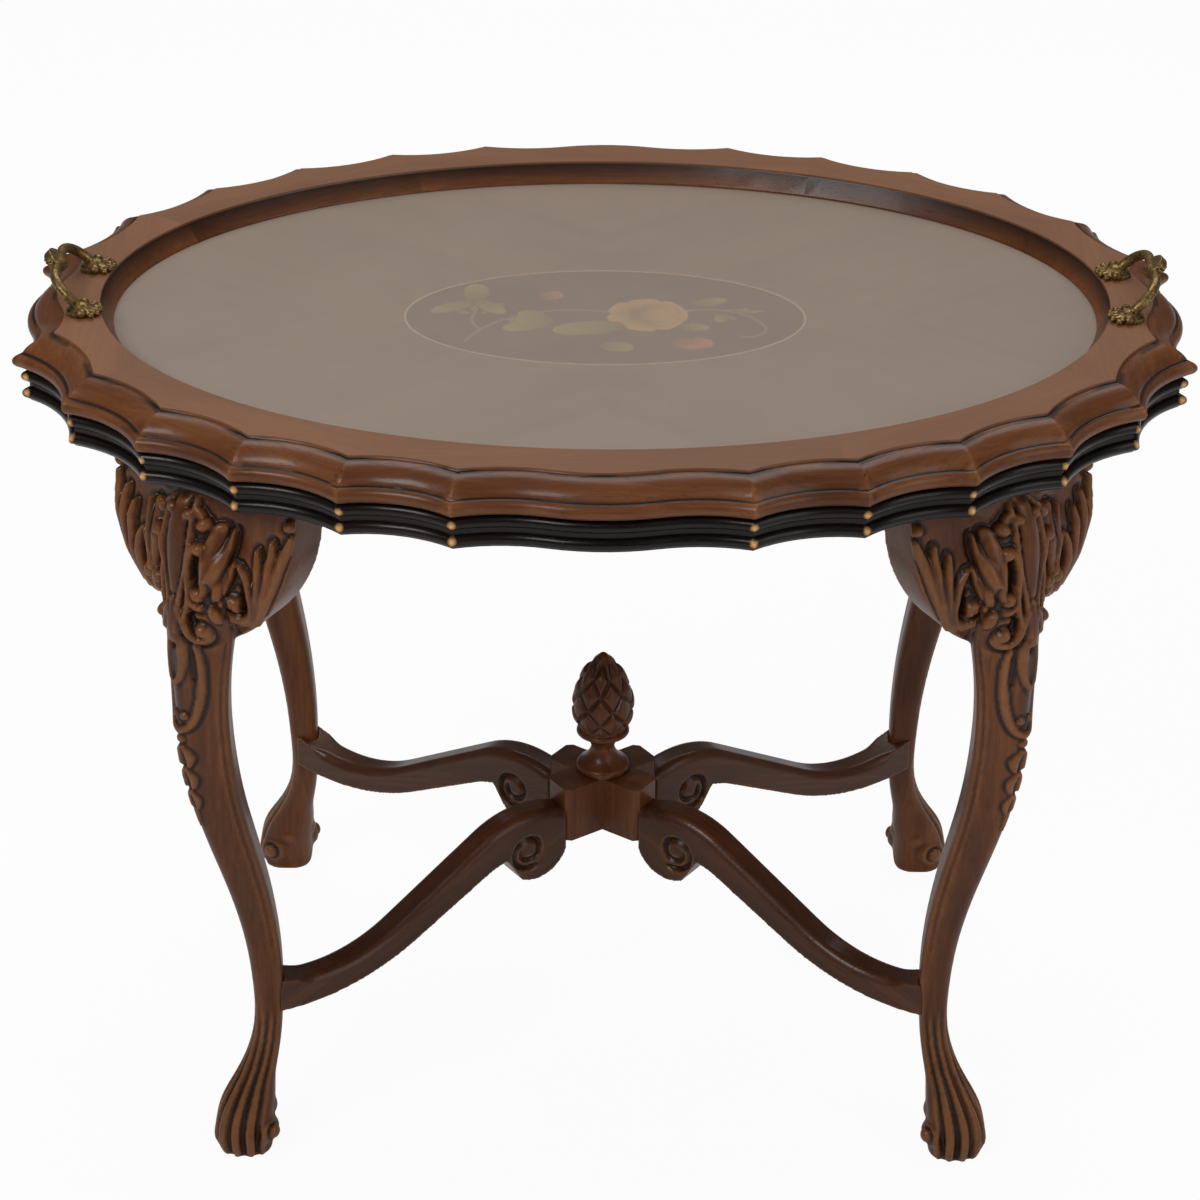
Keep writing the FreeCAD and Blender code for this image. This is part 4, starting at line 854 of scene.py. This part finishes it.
# %% Pattern of the knee
KNEE_RAISED = [
    # cartouche on the ridge and its border
    (2.6, [(0, 541, 5.5), (0, 524, 8.2), (0, 506, 8.8), (0, 490, 7.0), (0, 476, 3.6)]),
    (3.0, [(3, 548, 1.8), (9.5, 541, 2.0), (12, 524, 2.0), (12.2, 506, 2.0), (9.5, 490, 2.2),
           (5.5, 474, 2.6), (3, 458, 3.0), (2, 446, 3.2)]),
    # top scrolls and their eyes
    (4.6, [(8.0, 530, 4.2)]),
    (2.8, [(8, 531, 3.0), (12.5, 534, 2.6), (17, 530, 3.0)]),
    (4.8, [(20.0, 525.5, 5.0)]),
    # hook beside the deep hollow
    (3.4, [(8, 454, 2.4), (11.5, 470, 2.4), (12.6, 486, 2.6), (13.4, 500, 2.8), (16, 509, 3.2),
           (20.5, 510, 3.6)]),
    (4.8, [(20.8, 509, 4.6)]),
    (4.8, [(20.0, 477, 5.2)]),
    (2.6, [(12.5, 474, 2.2), (15.5, 467.5, 2.4), (21, 467, 2.4)]),
    # broad panel and the leaf along it
    (2.4, [(30, 524, 4.5), (29, 510, 6.0), (27, 496, 6.0), (25.5, 484, 4.0)]),
    (4.6, [(38.5, 524, 1.4), (37, 513, 3.4), (34, 502, 3.8), (30, 490, 3.4), (26.5, 480, 2.2)]),
    (4.0, [(41, 501, 2.0), (37.5, 493, 3.6), (34, 484, 3.4), (31.5, 476, 1.8)]),
    # great volute of the wing
    (6.2, [(39, 472, 6.2)]),
    (3.8, [(45, 500, 2.2), (50, 491, 3.2), (52, 478, 3.6), (49, 465, 3.8), (41, 458, 3.8),
           (32, 460, 3.2), (29.5, 468, 2.4)]),
    # leaf tips that fan out over the wing
    (3.8, [(57, 514, 1.8), (59, 502, 3.6), (58, 486, 3.8), (54, 470, 3.4), (46, 457, 2.6)]),
    (3.6, [(67, 522, 2.0), (68.5, 510, 4.0), (66, 494, 4.2), (60, 476, 3.8), (51, 460, 2.8)]),
    (3.0, [(80, 528, 2.2), (77.5, 517, 3.6), (73, 502, 4.0), (65.5, 484, 3.6), (56, 467, 2.6)]),
    (4.4, [(78, 537, 4.6)]),
    # lower hook and its eye
    (3.6, [(4, 464, 2.6), (8, 453, 2.8), (11.5, 444.5, 3.0), (17, 441, 3.2), (22.5, 444.5, 3.4),
           (23, 451, 2.8)]),
    (5.0, [(20.2, 450, 5.0)]),
    (3.0, [(0, 470, 3.0), (0, 455, 4.0), (0, 441, 4.6)]),
]
KNEE_SUNK = [
    (3.6, [(18.4, 501, 2.8), (17.4, 492, 4.4), (18.4, 484, 3.2)]),
    (2.6, [(44.5, 486, 2.6), (45.6, 478, 2.2), (43, 466, 1.6)]),
    (2.4, [(12.5, 459, 2.6), (14, 453, 3.2)]),
    (2.2, [(31, 476, 2.0), (29.5, 488, 1.4)]),
]

# %% Pattern of the long leaf and the husks below it
LEAF_RAISED = [
    (3.0, [(0, 463, 3.6), (0, 446, 7.6), (0, 428, 9.4), (0, 413, 6.6), (0, 403, 1.6)]),
    (2.6, [(9.3, 450, 2.0), (14.2, 431, 2.2), (15.4, 406, 2.4), (12.6, 386, 2.4), (7.4, 372, 2.4),
           (0, 367, 2.6)]),
    (3.0, [(4.2, 379.5, 2.9)]),
    (2.6, [(0, 360.5, 3.4)]),
    (2.6, [(1.2, 354, 1.6), (4.8, 346, 2.8), (3.6, 338, 1.2)]),
    (2.4, [(0.8, 335, 1.5), (4.4, 327, 2.6), (3.2, 319, 1.1)]),
    (2.0, [(0.6, 316, 1.3), (3.6, 309, 2.3), (2.6, 301, 1.0)]),
    (1.8, [(0, 299, 2.4), (0, 285, 1.2)]),
]
LEAF_SUNK = [
    (2.8, [(0, 441, 1.4), (0, 427, 4.4), (0, 415, 3.4), (0, 409, 1.0)]),
    (1.4, [(0, 400, 8.5), (0, 388, 8.0), (0, 378, 5.0)]),
    (1.2, [(10.6, 446, 1.4), (12, 430, 1.8), (11.8, 410, 2.2)]),
    (1.0, [(0, 352, 1.2), (0, 338, 1.4)]),
    (0.9, [(0, 333, 1.0), (0, 318, 1.2)]),
]
print("strokes in the pattern:", len(KNEE_RAISED + KNEE_SUNK + LEAF_RAISED + LEAF_SUNK))


# %% [markdown]
# ## Legs
# The leg and its two knee wings were glued up and carved as one, so one skin covers all three.
# Its sections are read from the measured leg: at each height, where its middle is and how wide
# it is. The foot is a tight scroll: flutes start at the ankle, spread over the foot and end
# between rounded toes, and a small volute curls out on either side.

# %% Sections of the measured leg
leg_skin = points_of(remeshed(merged_copy("section_copy", "leg_back_right"), 2.5))
levels = np.arange(0.0, 556.0, 4.0)
sections = []
for level in levels:
    for window in (1.5, 3, 6):
        close = leg_skin[abs(leg_skin[:, 2] - level) < window]
        if len(close) > 16:
            break
    low_x, high_x = close[:, 0].min(), close[:, 0].max()
    low_y, high_y = close[:, 1].min(), close[:, 1].max()
    sections.append(((low_x + high_x) / 2, (low_y + high_y) / 2, (high_x - low_x) / 2))
sections = np.array(sections)
print("foot, ankle and knee half widths:", [round(float(sections[k, 2]), 1) for k in (2, 30, 128)])


# %% Leg and wings as one blank
VOLUTE_TURN, VOLUTE_HEIGHT = 106, 20
# turn from the leg's diagonal in degrees; distance from its middle, height and radius in mm
FOOT_BALLS = ((VOLUTE_TURN, 15.5, VOLUTE_HEIGHT, 12.5), (148, 15, 33, 9.5))


def leg_blank():
    """Leg and wings in one skin, with the foot's two volutes standing out."""
    shape = joined("leg_back_right", "wing_back_right", "wing_end_back_right")
    foot = Vector((sections[2, 0], sections[2, 1], 0)) * MM
    for side in (-1, 1):
        for turn, far, height, radius in FOOT_BALLS:
            turn = math.radians(45 + side * turn)
            middle = foot + Vector((math.cos(turn) * far, math.sin(turn) * far, height)) * MM
            ball = bmesh.ops.create_icosphere(shape, subdivisions=3, radius=radius * MM)
            bmesh.ops.translate(shape, vec=middle, verts=ball["verts"])
    return finished(shape, "leg_blank")


# %% Directions on the leg
def outward(vectors):
    """How far vectors point along the leg's own diagonal, away from the table's middle."""
    return (vectors[:, 0] + vectors[:, 1]) / math.sqrt(2)


def from_middle(places):
    """Offsets in X and Y from the leg's middle line at each point's own height."""
    return [places[:, axis] - np.interp(places[:, 2], levels, sections[:, axis]) for axis in (0, 1)]


# %% Full creases and swelling wings
# heights in mm, and how far the wings' faces stand out there
SWELL = ((425, 440, 458, 480, 502, 520, 536, 546, 554), (0, 3, 11, 15, 13, 8, 6, 4, 3))


def fill_creases(mesh, low, high):
    """Glue and carving leave no sharp crease between leg and wing: hollows melt full, and
    ridges stay."""
    for _ in range(4):
        places, normals = points_of(mesh), vertex_vectors(mesh, "normal")
        melted = neighbour_average(mesh, places, 45)
        lift = np.clip(((melted - places) * normals).sum(axis=1), 0, 3)
        up = places[:, 2]
        facing = outward(normals)
        where = step(low, low + 15, up) * (1 - step(high - 8, high, up)) * step(-0.1, 0.4, facing)
        put_points(mesh, places + normals * (lift * where)[:, None])


def swell_wings(mesh):
    """The knee's swell runs on into both wings: their faces bulge most at the volutes."""
    places, normals = points_of(mesh), vertex_vectors(mesh, "normal")
    up = places[:, 2]
    off_x, off_y = from_middle(places)
    facing = outward(normals)
    for side in (-1, 1):
        across = side * (off_y - off_x) / math.sqrt(2)
        face = (across > 30) & (facing > 0.3) & (up > 470) & (abs(normals[:, 2]) < 0.3)
        out = normals[face].mean(axis=0)
        out = out / np.linalg.norm(out)
        behind = np.percentile(places[face] @ out, 90) - places @ out
        share = step(6, 30, across) * (1 - step(2, 26, behind))
        places = places + out * (np.interp(up, *SWELL) * share)[:, None]
    put_points(mesh, places)


# %% Cuts on the leg
LEG_TOP = 554.0
KNEE_BOLDER = 1.25
ARRIS_LINE, ARRIS_LINE_HALF, ARRIS_LINE_DEPTH = 4.6, 1.5, 1.1
FOOT_FLUTES = (-74, -44, -15, 15, 44, 74)
# heights in mm, and a flute's half width or depth there
FLUTE_HALF = ((0, 40, 110), (3.0, 3.0, 1.7))
FLUTE_DEPTH = ((0, 8, 30, 60, 100, 122), (3.0, 3.6, 3.2, 2.2, 1.5, 0.0))
TOE_HEIGHT, TOE_SPREAD, TOE_SWELL = 11, 9, 2.0
RING_RADIUS, RING_HALF, RING_DEPTH = 7.6, 2.0, 1.9
EYE_RADIUS, EYE_SWELL, EYE_FAR = 5.5, 1.6, 28


def carve_leg(mesh):
    """Cuts knee, leaf, arris lines, flutes and volutes; gives the height, and the dirt and painted shade
    in the carved ground and the volute grooves.
    """
    places, normals = points_of(mesh), vertex_vectors(mesh, "normal")
    up = places[:, 2]
    half = np.interp(up, levels, sections[:, 2])
    off_x, off_y = from_middle(places)
    across = abs(off_y - off_x) / math.sqrt(2)
    facing = outward(normals)
    outside = step(0.05, 0.45, facing)
    under_top = 1 - step(536, 545, up)

    knee, knee_ground = relief(across, up, KNEE_RAISED, KNEE_SUNK, 1.08, 1.7, 4.5)
    leaf, leaf_ground = relief(across, up, LEAF_RAISED, LEAF_SUNK, 1.1, 0.5, 3.0)
    knee = knee * outside * under_top * KNEE_BOLDER
    leaf = leaf * outside
    # dirt and painted shade in the sunk ground round the raised strokes
    dirt_and_shade = np.maximum(knee_ground * under_top, 0.7 * leaf_ground) * outside
    height = np.where(abs(leaf) > abs(knee), leaf, knee)

    on_long_face = (normals[:, 1] > 0.7) & (off_x < 0)
    on_end_face = (normals[:, 0] > 0.7) & (off_y < 0)
    from_arris = np.where(on_long_face, off_x + half, np.where(on_end_face, off_y + half, 99))
    in_run = step(150, 175, up) * (1 - step(432, 446, up))
    scratch = np.sqrt(np.clip(1 - ((from_arris - ARRIS_LINE) / ARRIS_LINE_HALF) ** 2, 0, 1))
    height = height - ARRIS_LINE_DEPTH * scratch * in_run

    turn = np.degrees(np.arctan2(off_y, off_x)) - 45
    turn = (turn + 180) % 360 - 180
    radius = np.hypot(off_x, off_y)
    flute = np.zeros(len(up))
    for heading in FOOT_FLUTES:
        gap = abs(turn - heading) * math.pi / 180 * radius
        flute = np.maximum(flute, np.clip(1 - (gap / np.interp(up, *FLUTE_HALF)) ** 2, 0, 1))
    front = 1 - step(80, 96, abs(turn))
    height = height - flute * np.interp(up, *FLUTE_DEPTH) * front * (abs(normals[:, 2]) < 0.95)
    toe = np.exp(-((up - TOE_HEIGHT) / TOE_SPREAD) ** 2) * (1 - flute) * front * TOE_SWELL
    height = height + np.where(up < 40, toe, 0)

    for side in (-1, 1):
        heading = math.radians(45 + side * VOLUTE_TURN)
        eye = np.array([sections[2, 0] + math.cos(heading) * EYE_FAR,
                        sections[2, 1] + math.sin(heading) * EYE_FAR, VOLUTE_HEIGHT])
        gap = np.linalg.norm(places - eye, axis=1)
        ring = np.clip(1 - ((gap - RING_RADIUS) / RING_HALF) ** 2, 0, 1)
        height = height - RING_DEPTH * ring + EYE_SWELL * np.clip(1 - (gap / EYE_RADIUS) ** 2, 0, 1)
        # dirt and painted shade in the volute's ring groove
        dirt_and_shade = np.maximum(dirt_and_shade, 0.8 * ring)

    places = places + normals * height[:, None]
    places[:, 2] = np.clip(places[:, 2], 0.0, LEG_TOP)
    put_points(mesh, places)
    return height, dirt_and_shade


# %% One carved leg
LEG_VOXEL = 1.3
leg_mesh = remeshed(leg_blank(), LEG_VOXEL)
softened(leg_mesh, 2)
fill_creases(leg_mesh, 430, 545)
swell_wings(leg_mesh)
softened(leg_mesh, 2)
carved, dirt_and_shade = carve_leg(leg_mesh)
softened(leg_mesh, 1)
# the carved ground and grooves get dirt and painted shade on top of what the shape gives
paint_by_shape(leg_mesh, 0.6, 18, 0.4, extra_hollow=0.8 * dirt_and_shade)
print("one carved leg has", len(leg_mesh.polygons), "faces; deepest cut", -carved.min().round(1), "mm")


# %% Four legs
def mirrored_mesh(mesh, name, sign_x, sign_y):
    """A copy for another quarter of the table, with its faces still turned outward."""
    copy = mesh.copy()
    copy.name = name
    copy.transform(Matrix.Diagonal((sign_x, sign_y, 1, 1)))
    if sign_x * sign_y < 0:
        copy.flip_normals()
    return copy


for quarter, sign_x, sign_y in QUARTERS:
    mesh = mirrored_mesh(leg_mesh, "carved_leg_" + quarter, sign_x, sign_y)
    as_piece("carved_leg_" + quarter, mesh, carved_walnut, "table",
             ["leg_" + quarter, "wing_" + quarter, "wing_end_" + quarter], 180)

# %% [markdown]
# ## Stretchers
# Each arm is sawn to its double curve, then its top edges are rounded over with a spokeshave
# until they meet in a soft roll, while the lower edges are only eased. Beside the hub it rolls
# up into a scroll with a groove cut round its eye. A net of quads can be rounded by moving its
# vertices: those near both the top and a side go inward along their normals.

# %% Arm in its own frame
arm_mesh = remeshed(merged_copy("arm_copy", "stretcher_back_right"), 1.1)
places = points_of(arm_mesh)
ankle = places[places[:, 2] < 125]
heading = math.atan2(ankle[:, 1].mean(), ankle[:, 0].mean())
turned = np.array(Matrix.Rotation(-heading, 3, "Z"))


# %% Rounded upper edges
ARM_HALF = 12.5
ARM_FOOT = 291.0


def crest_line(local):
    """The arm's upper outline from the side, as (reach, height) points one millimetre apart."""
    reaches = np.arange(np.ceil(local[:, 0].min()) + 1, ARM_FOOT)
    tops = np.array([local[abs(local[:, 0] - r) < 1.2, 2].max() for r in reaches])
    tops = np.convolve(np.pad(tops, 3, mode="edge"), np.ones(7) / 7, mode="valid")
    return np.stack([reaches, tops], axis=1)


def round_over(local, line, radius):
    """Moves the two upper arrises onto a quarter round of this radius."""
    slope = np.gradient(line[:, 1], line[:, 0])
    gap = np.full(len(local), 1e9)
    inward = np.zeros((len(local), 2))
    for (reach, top), rise in zip(line, slope):
        away = np.hypot(local[:, 0] - reach, local[:, 2] - top)
        closer = away < gap
        gap[closer] = away[closer]
        inward[closer] = np.array([rise, -1]) / math.hypot(rise, 1)
    size = radius * (1 - step(ARM_FOOT - 26, ARM_FOOT - 4, local[:, 0])) + 0.01
    below = size - gap
    beside = size - (ARM_HALF - abs(local[:, 1]))
    corner = np.hypot(below, beside)
    outside = (below > 0) & (beside > 0) & (corner > size)
    pull = np.where(outside, 1 - size / np.maximum(corner, 1e-6), 0)
    local[:, 0] += inward[:, 0] * below * pull
    local[:, 2] += inward[:, 1] * below * pull
    local[:, 1] -= np.sign(local[:, 1]) * beside * pull
    return local


# %% Groove of the roll
ROLL_EYE = (76.0, 167.5)
ROLL_TURNS, ROLL_FIRST, ROLL_PITCH, ROLL_DEPTH = 1.55, 16.5, 6.4, 4.4


def roll_groove(local):
    """Depth of the spiral cut into each side of the roll: steep outside, sloping inside."""
    across, up = local[:, 0] - ROLL_EYE[0], local[:, 2] - ROLL_EYE[1]
    radius = np.hypot(across, up)
    angle = (np.arctan2(up, across) / (2 * math.pi) + 0.38) % 1.0
    depth = np.zeros(len(local))
    for lap in range(2):
        run = angle + lap
        line = ROLL_FIRST - ROLL_PITCH * run
        inner = np.clip(1 - (line - radius) / 5.6, 0, 1) * (radius <= line)
        outer = np.clip(1 - (radius - line) / 1.2, 0, 1) * (radius > line)
        fade = step(0.0, 0.12, run) * (1 - step(ROLL_TURNS - 0.25, ROLL_TURNS, run))
        depth = np.maximum(depth, ROLL_DEPTH * (inner + outer) * fade)
    return depth


# %% One arm
ROUND_OVER = 8.5
local = places @ turned.T
from_eye = np.hypot(local[:, 0] - ROLL_EYE[0], local[:, 2] - ROLL_EYE[1])
near_roll = (from_eye < 20) & (abs(local[:, 1]) > 9.5)
local[near_roll, 1] = np.sign(local[near_roll, 1]) * ARM_HALF
flat_side = abs(local[:, 1]) > ARM_HALF - 0.6
cut = roll_groove(local) * flat_side
local = round_over(local, crest_line(local), ROUND_OVER)
local[:, 1] -= np.sign(local[:, 1]) * cut
put_points(arm_mesh, local @ turned)
softened(arm_mesh, 1)
paint_by_shape(arm_mesh, 0.55, 14, 0.22)
grain = arm_mesh.attributes.new("grain", "FLOAT_VECTOR", "POINT")
PLANK_TURN = math.radians(-19)
lie = np.array(Matrix.Rotation(PLANK_TURN, 3, "Y"))
grain.data.foreach_set("vector", ((local @ lie.T) * MM).ravel().astype(np.float32))
print("one arm has", len(arm_mesh.polygons), "faces; it points", round(math.degrees(heading), 1))

# %% Four arms
for quarter, sign_x, sign_y in QUARTERS:
    mesh = mirrored_mesh(arm_mesh, "arm_" + quarter, sign_x, sign_y)
    as_piece("arm_" + quarter, mesh, stretcher_walnut, "table", ["stretcher_" + quarter], 180)

# %% [markdown]
# ## Hub
# Two short bars cross in the middle and have their corners chamfered. Their edges only need a
# hair's breadth of rounding, which a bevel gives once flat triangles are joined into whole faces.

# %% Hub
EASE, CREASE = 1.1, math.radians(20)
shape = joined("stretcher_hub")
bmesh.ops.dissolve_limit(shape, angle_limit=math.radians(1), verts=shape.verts, edges=shape.edges)
ease_edges(shape, EASE, CREASE)
hub_mesh = finished(shape, "hub_mesh")
as_piece("hub", hub_mesh, carved_walnut, "table", ["stretcher_hub"], 35)
print("hub faces", len(hub_mesh.polygons))

# %% [markdown]
# ## Finial
# The cone was turned and then cut with a veiner along two sets of crossing spirals. Their
# distance from each vertex is easy to find in turns round the axis and height up the cone, so
# the groove is a simple function of both.

# %% Pine cone
CONE_LOW, CONE_HIGH = 244.0, 309.0
SPIRALS, CLIMB = 7, 2.6
GROOVE_HALF, GROOVE_DEPTH, SCALE_SWELL = 1.5, 2.5, 0.9
finial_mesh = remeshed(merged_copy("finial_copy", "finial"), 0.7)
softened(finial_mesh, 2)
places, normals = points_of(finial_mesh), vertex_vectors(finial_mesh, "normal")
rise = (places[:, 2] - CONE_LOW) / (CONE_HIGH - CONE_LOW)
around = SPIRALS * np.arctan2(places[:, 1], places[:, 0]) / (2 * math.pi)
nearest = np.full(len(rise), 9.0)
for way in (-1, 1):
    turns = around + way * CLIMB * rise + 0.35
    nearest = np.minimum(nearest, abs(turns - np.round(turns)))
radius = np.hypot(places[:, 0], places[:, 1])
gap = nearest * 2 * math.pi * radius / SPIRALS * 0.8
on_cone = step(0.03, 0.10, rise) * (1 - step(0.90, 1.0, rise))
groove = np.exp(-(gap / GROOVE_HALF) ** 2)
swell = np.clip(nearest * 2, 0, 1)
cut = (SCALE_SWELL * swell - GROOVE_DEPTH * groove) * on_cone
put_points(finial_mesh, places + normals * cut[:, None])
softened(finial_mesh, 1, 0.4)
# the cone's grooves get dirt and painted shade on top of what the shape gives
paint_by_shape(finial_mesh, 0.8, 14, 0.25, extra_hollow=0.25 * groove * on_cone)
as_piece("pine_cone_finial", finial_mesh, carved_walnut, "table", ["finial"], 180)
print("finial faces", len(finial_mesh.polygons))

# %% [markdown]
# ## Handles
# Each handle is one brass casting: two leaf rosettes lie on the rim, a thin bail swells up from
# them, and a fluted shell sits in the middle of the bail. Castings have no crisp joins, so balls
# and stretched balls are set into the measured bail and one net is drawn over all of them.

# %% Ornament on the casting
POST = (366.0, 37.7)
SHELL = (386.0, 626.0)
SHELL_TILT = math.radians(-22)
RIM_TOP = 604.0


def egg(shape, middle, radii, turn_z=0.0, tilt_y=0.0):
    """A stretched ball, in millimetres, tilted about Y and then turned about Z."""
    ball = bmesh.ops.create_icosphere(shape, subdivisions=3, radius=1)
    place = (Matrix.Translation(Vector(middle) * MM) @ Matrix.Rotation(turn_z, 4, "Z")
             @ Matrix.Rotation(tilt_y, 4, "Y") @ Matrix.Diagonal((*[r * MM for r in radii], 1)))
    bmesh.ops.transform(shape, matrix=place, verts=ball["verts"])


def round_post(side, far, degrees, lift):
    """A place round the post on one side, so far from its axis and above the rim."""
    turn = math.radians(degrees)
    return (POST[0] + far * math.cos(turn), side * POST[1] + far * math.sin(turn), RIM_TOP + lift)


def handle_casting():
    """The measured bail with two rosettes and a shell set into it."""
    shape = joined("handle_right")
    for side in (-1, 1):
        for leaf in range(-2, 3):
            degrees = 180 + 27 * leaf
            for far, lift, radii in ((8.4, 2.0, (6.0, 2.3, 2.1)), (13.2, 2.4, (2.2, 2.4, 2.0))):
                egg(shape, round_post(side, far, degrees, lift), radii, math.radians(degrees))
        for way in (-1, 1):
            egg(shape, round_post(side, 9.4, 180 + 86 * way, 3.4), (3.7, 3.7, 3.5))
        egg(shape, round_post(side, 0, 0, 5.2), (5.2, 5.2, 2.8))
    for flute in range(-4, 5):
        turn = math.radians(20 * flute)
        middle = (SHELL[0] + 4.8 * math.cos(turn), 8.6 * math.sin(turn), SHELL[1] + 1.4 * math.cos(turn))
        egg(shape, middle, (5.8, 1.7, 2.1), turn, SHELL_TILT)
    egg(shape, (SHELL[0] - 1.0, 0, SHELL[1] + 0.8), (5.0, 8.4, 2.6), 0, SHELL_TILT)
    return finished(shape, "handle_casting")


handle_mesh = remeshed(handle_casting(), 0.5)
softened(handle_mesh, 1, 0.4)
spots = points_of(handle_mesh)
spots[:, 2] = np.maximum(spots[:, 2], RIM_TOP)
put_points(handle_mesh, spots)
paint_by_shape(handle_mesh, 0.30, 12, 0.0, extra_hollow=0.26)
as_piece("brass_handle_right", handle_mesh, old_brass, "tray", ["handle_right"], 180)
as_piece("brass_handle_left", mirrored_mesh(handle_mesh, "handle_left_mesh", -1, 1), old_brass, "tray",
         ["handle_left"], 180)
print("one handle has", len(handle_mesh.polygons), "faces")
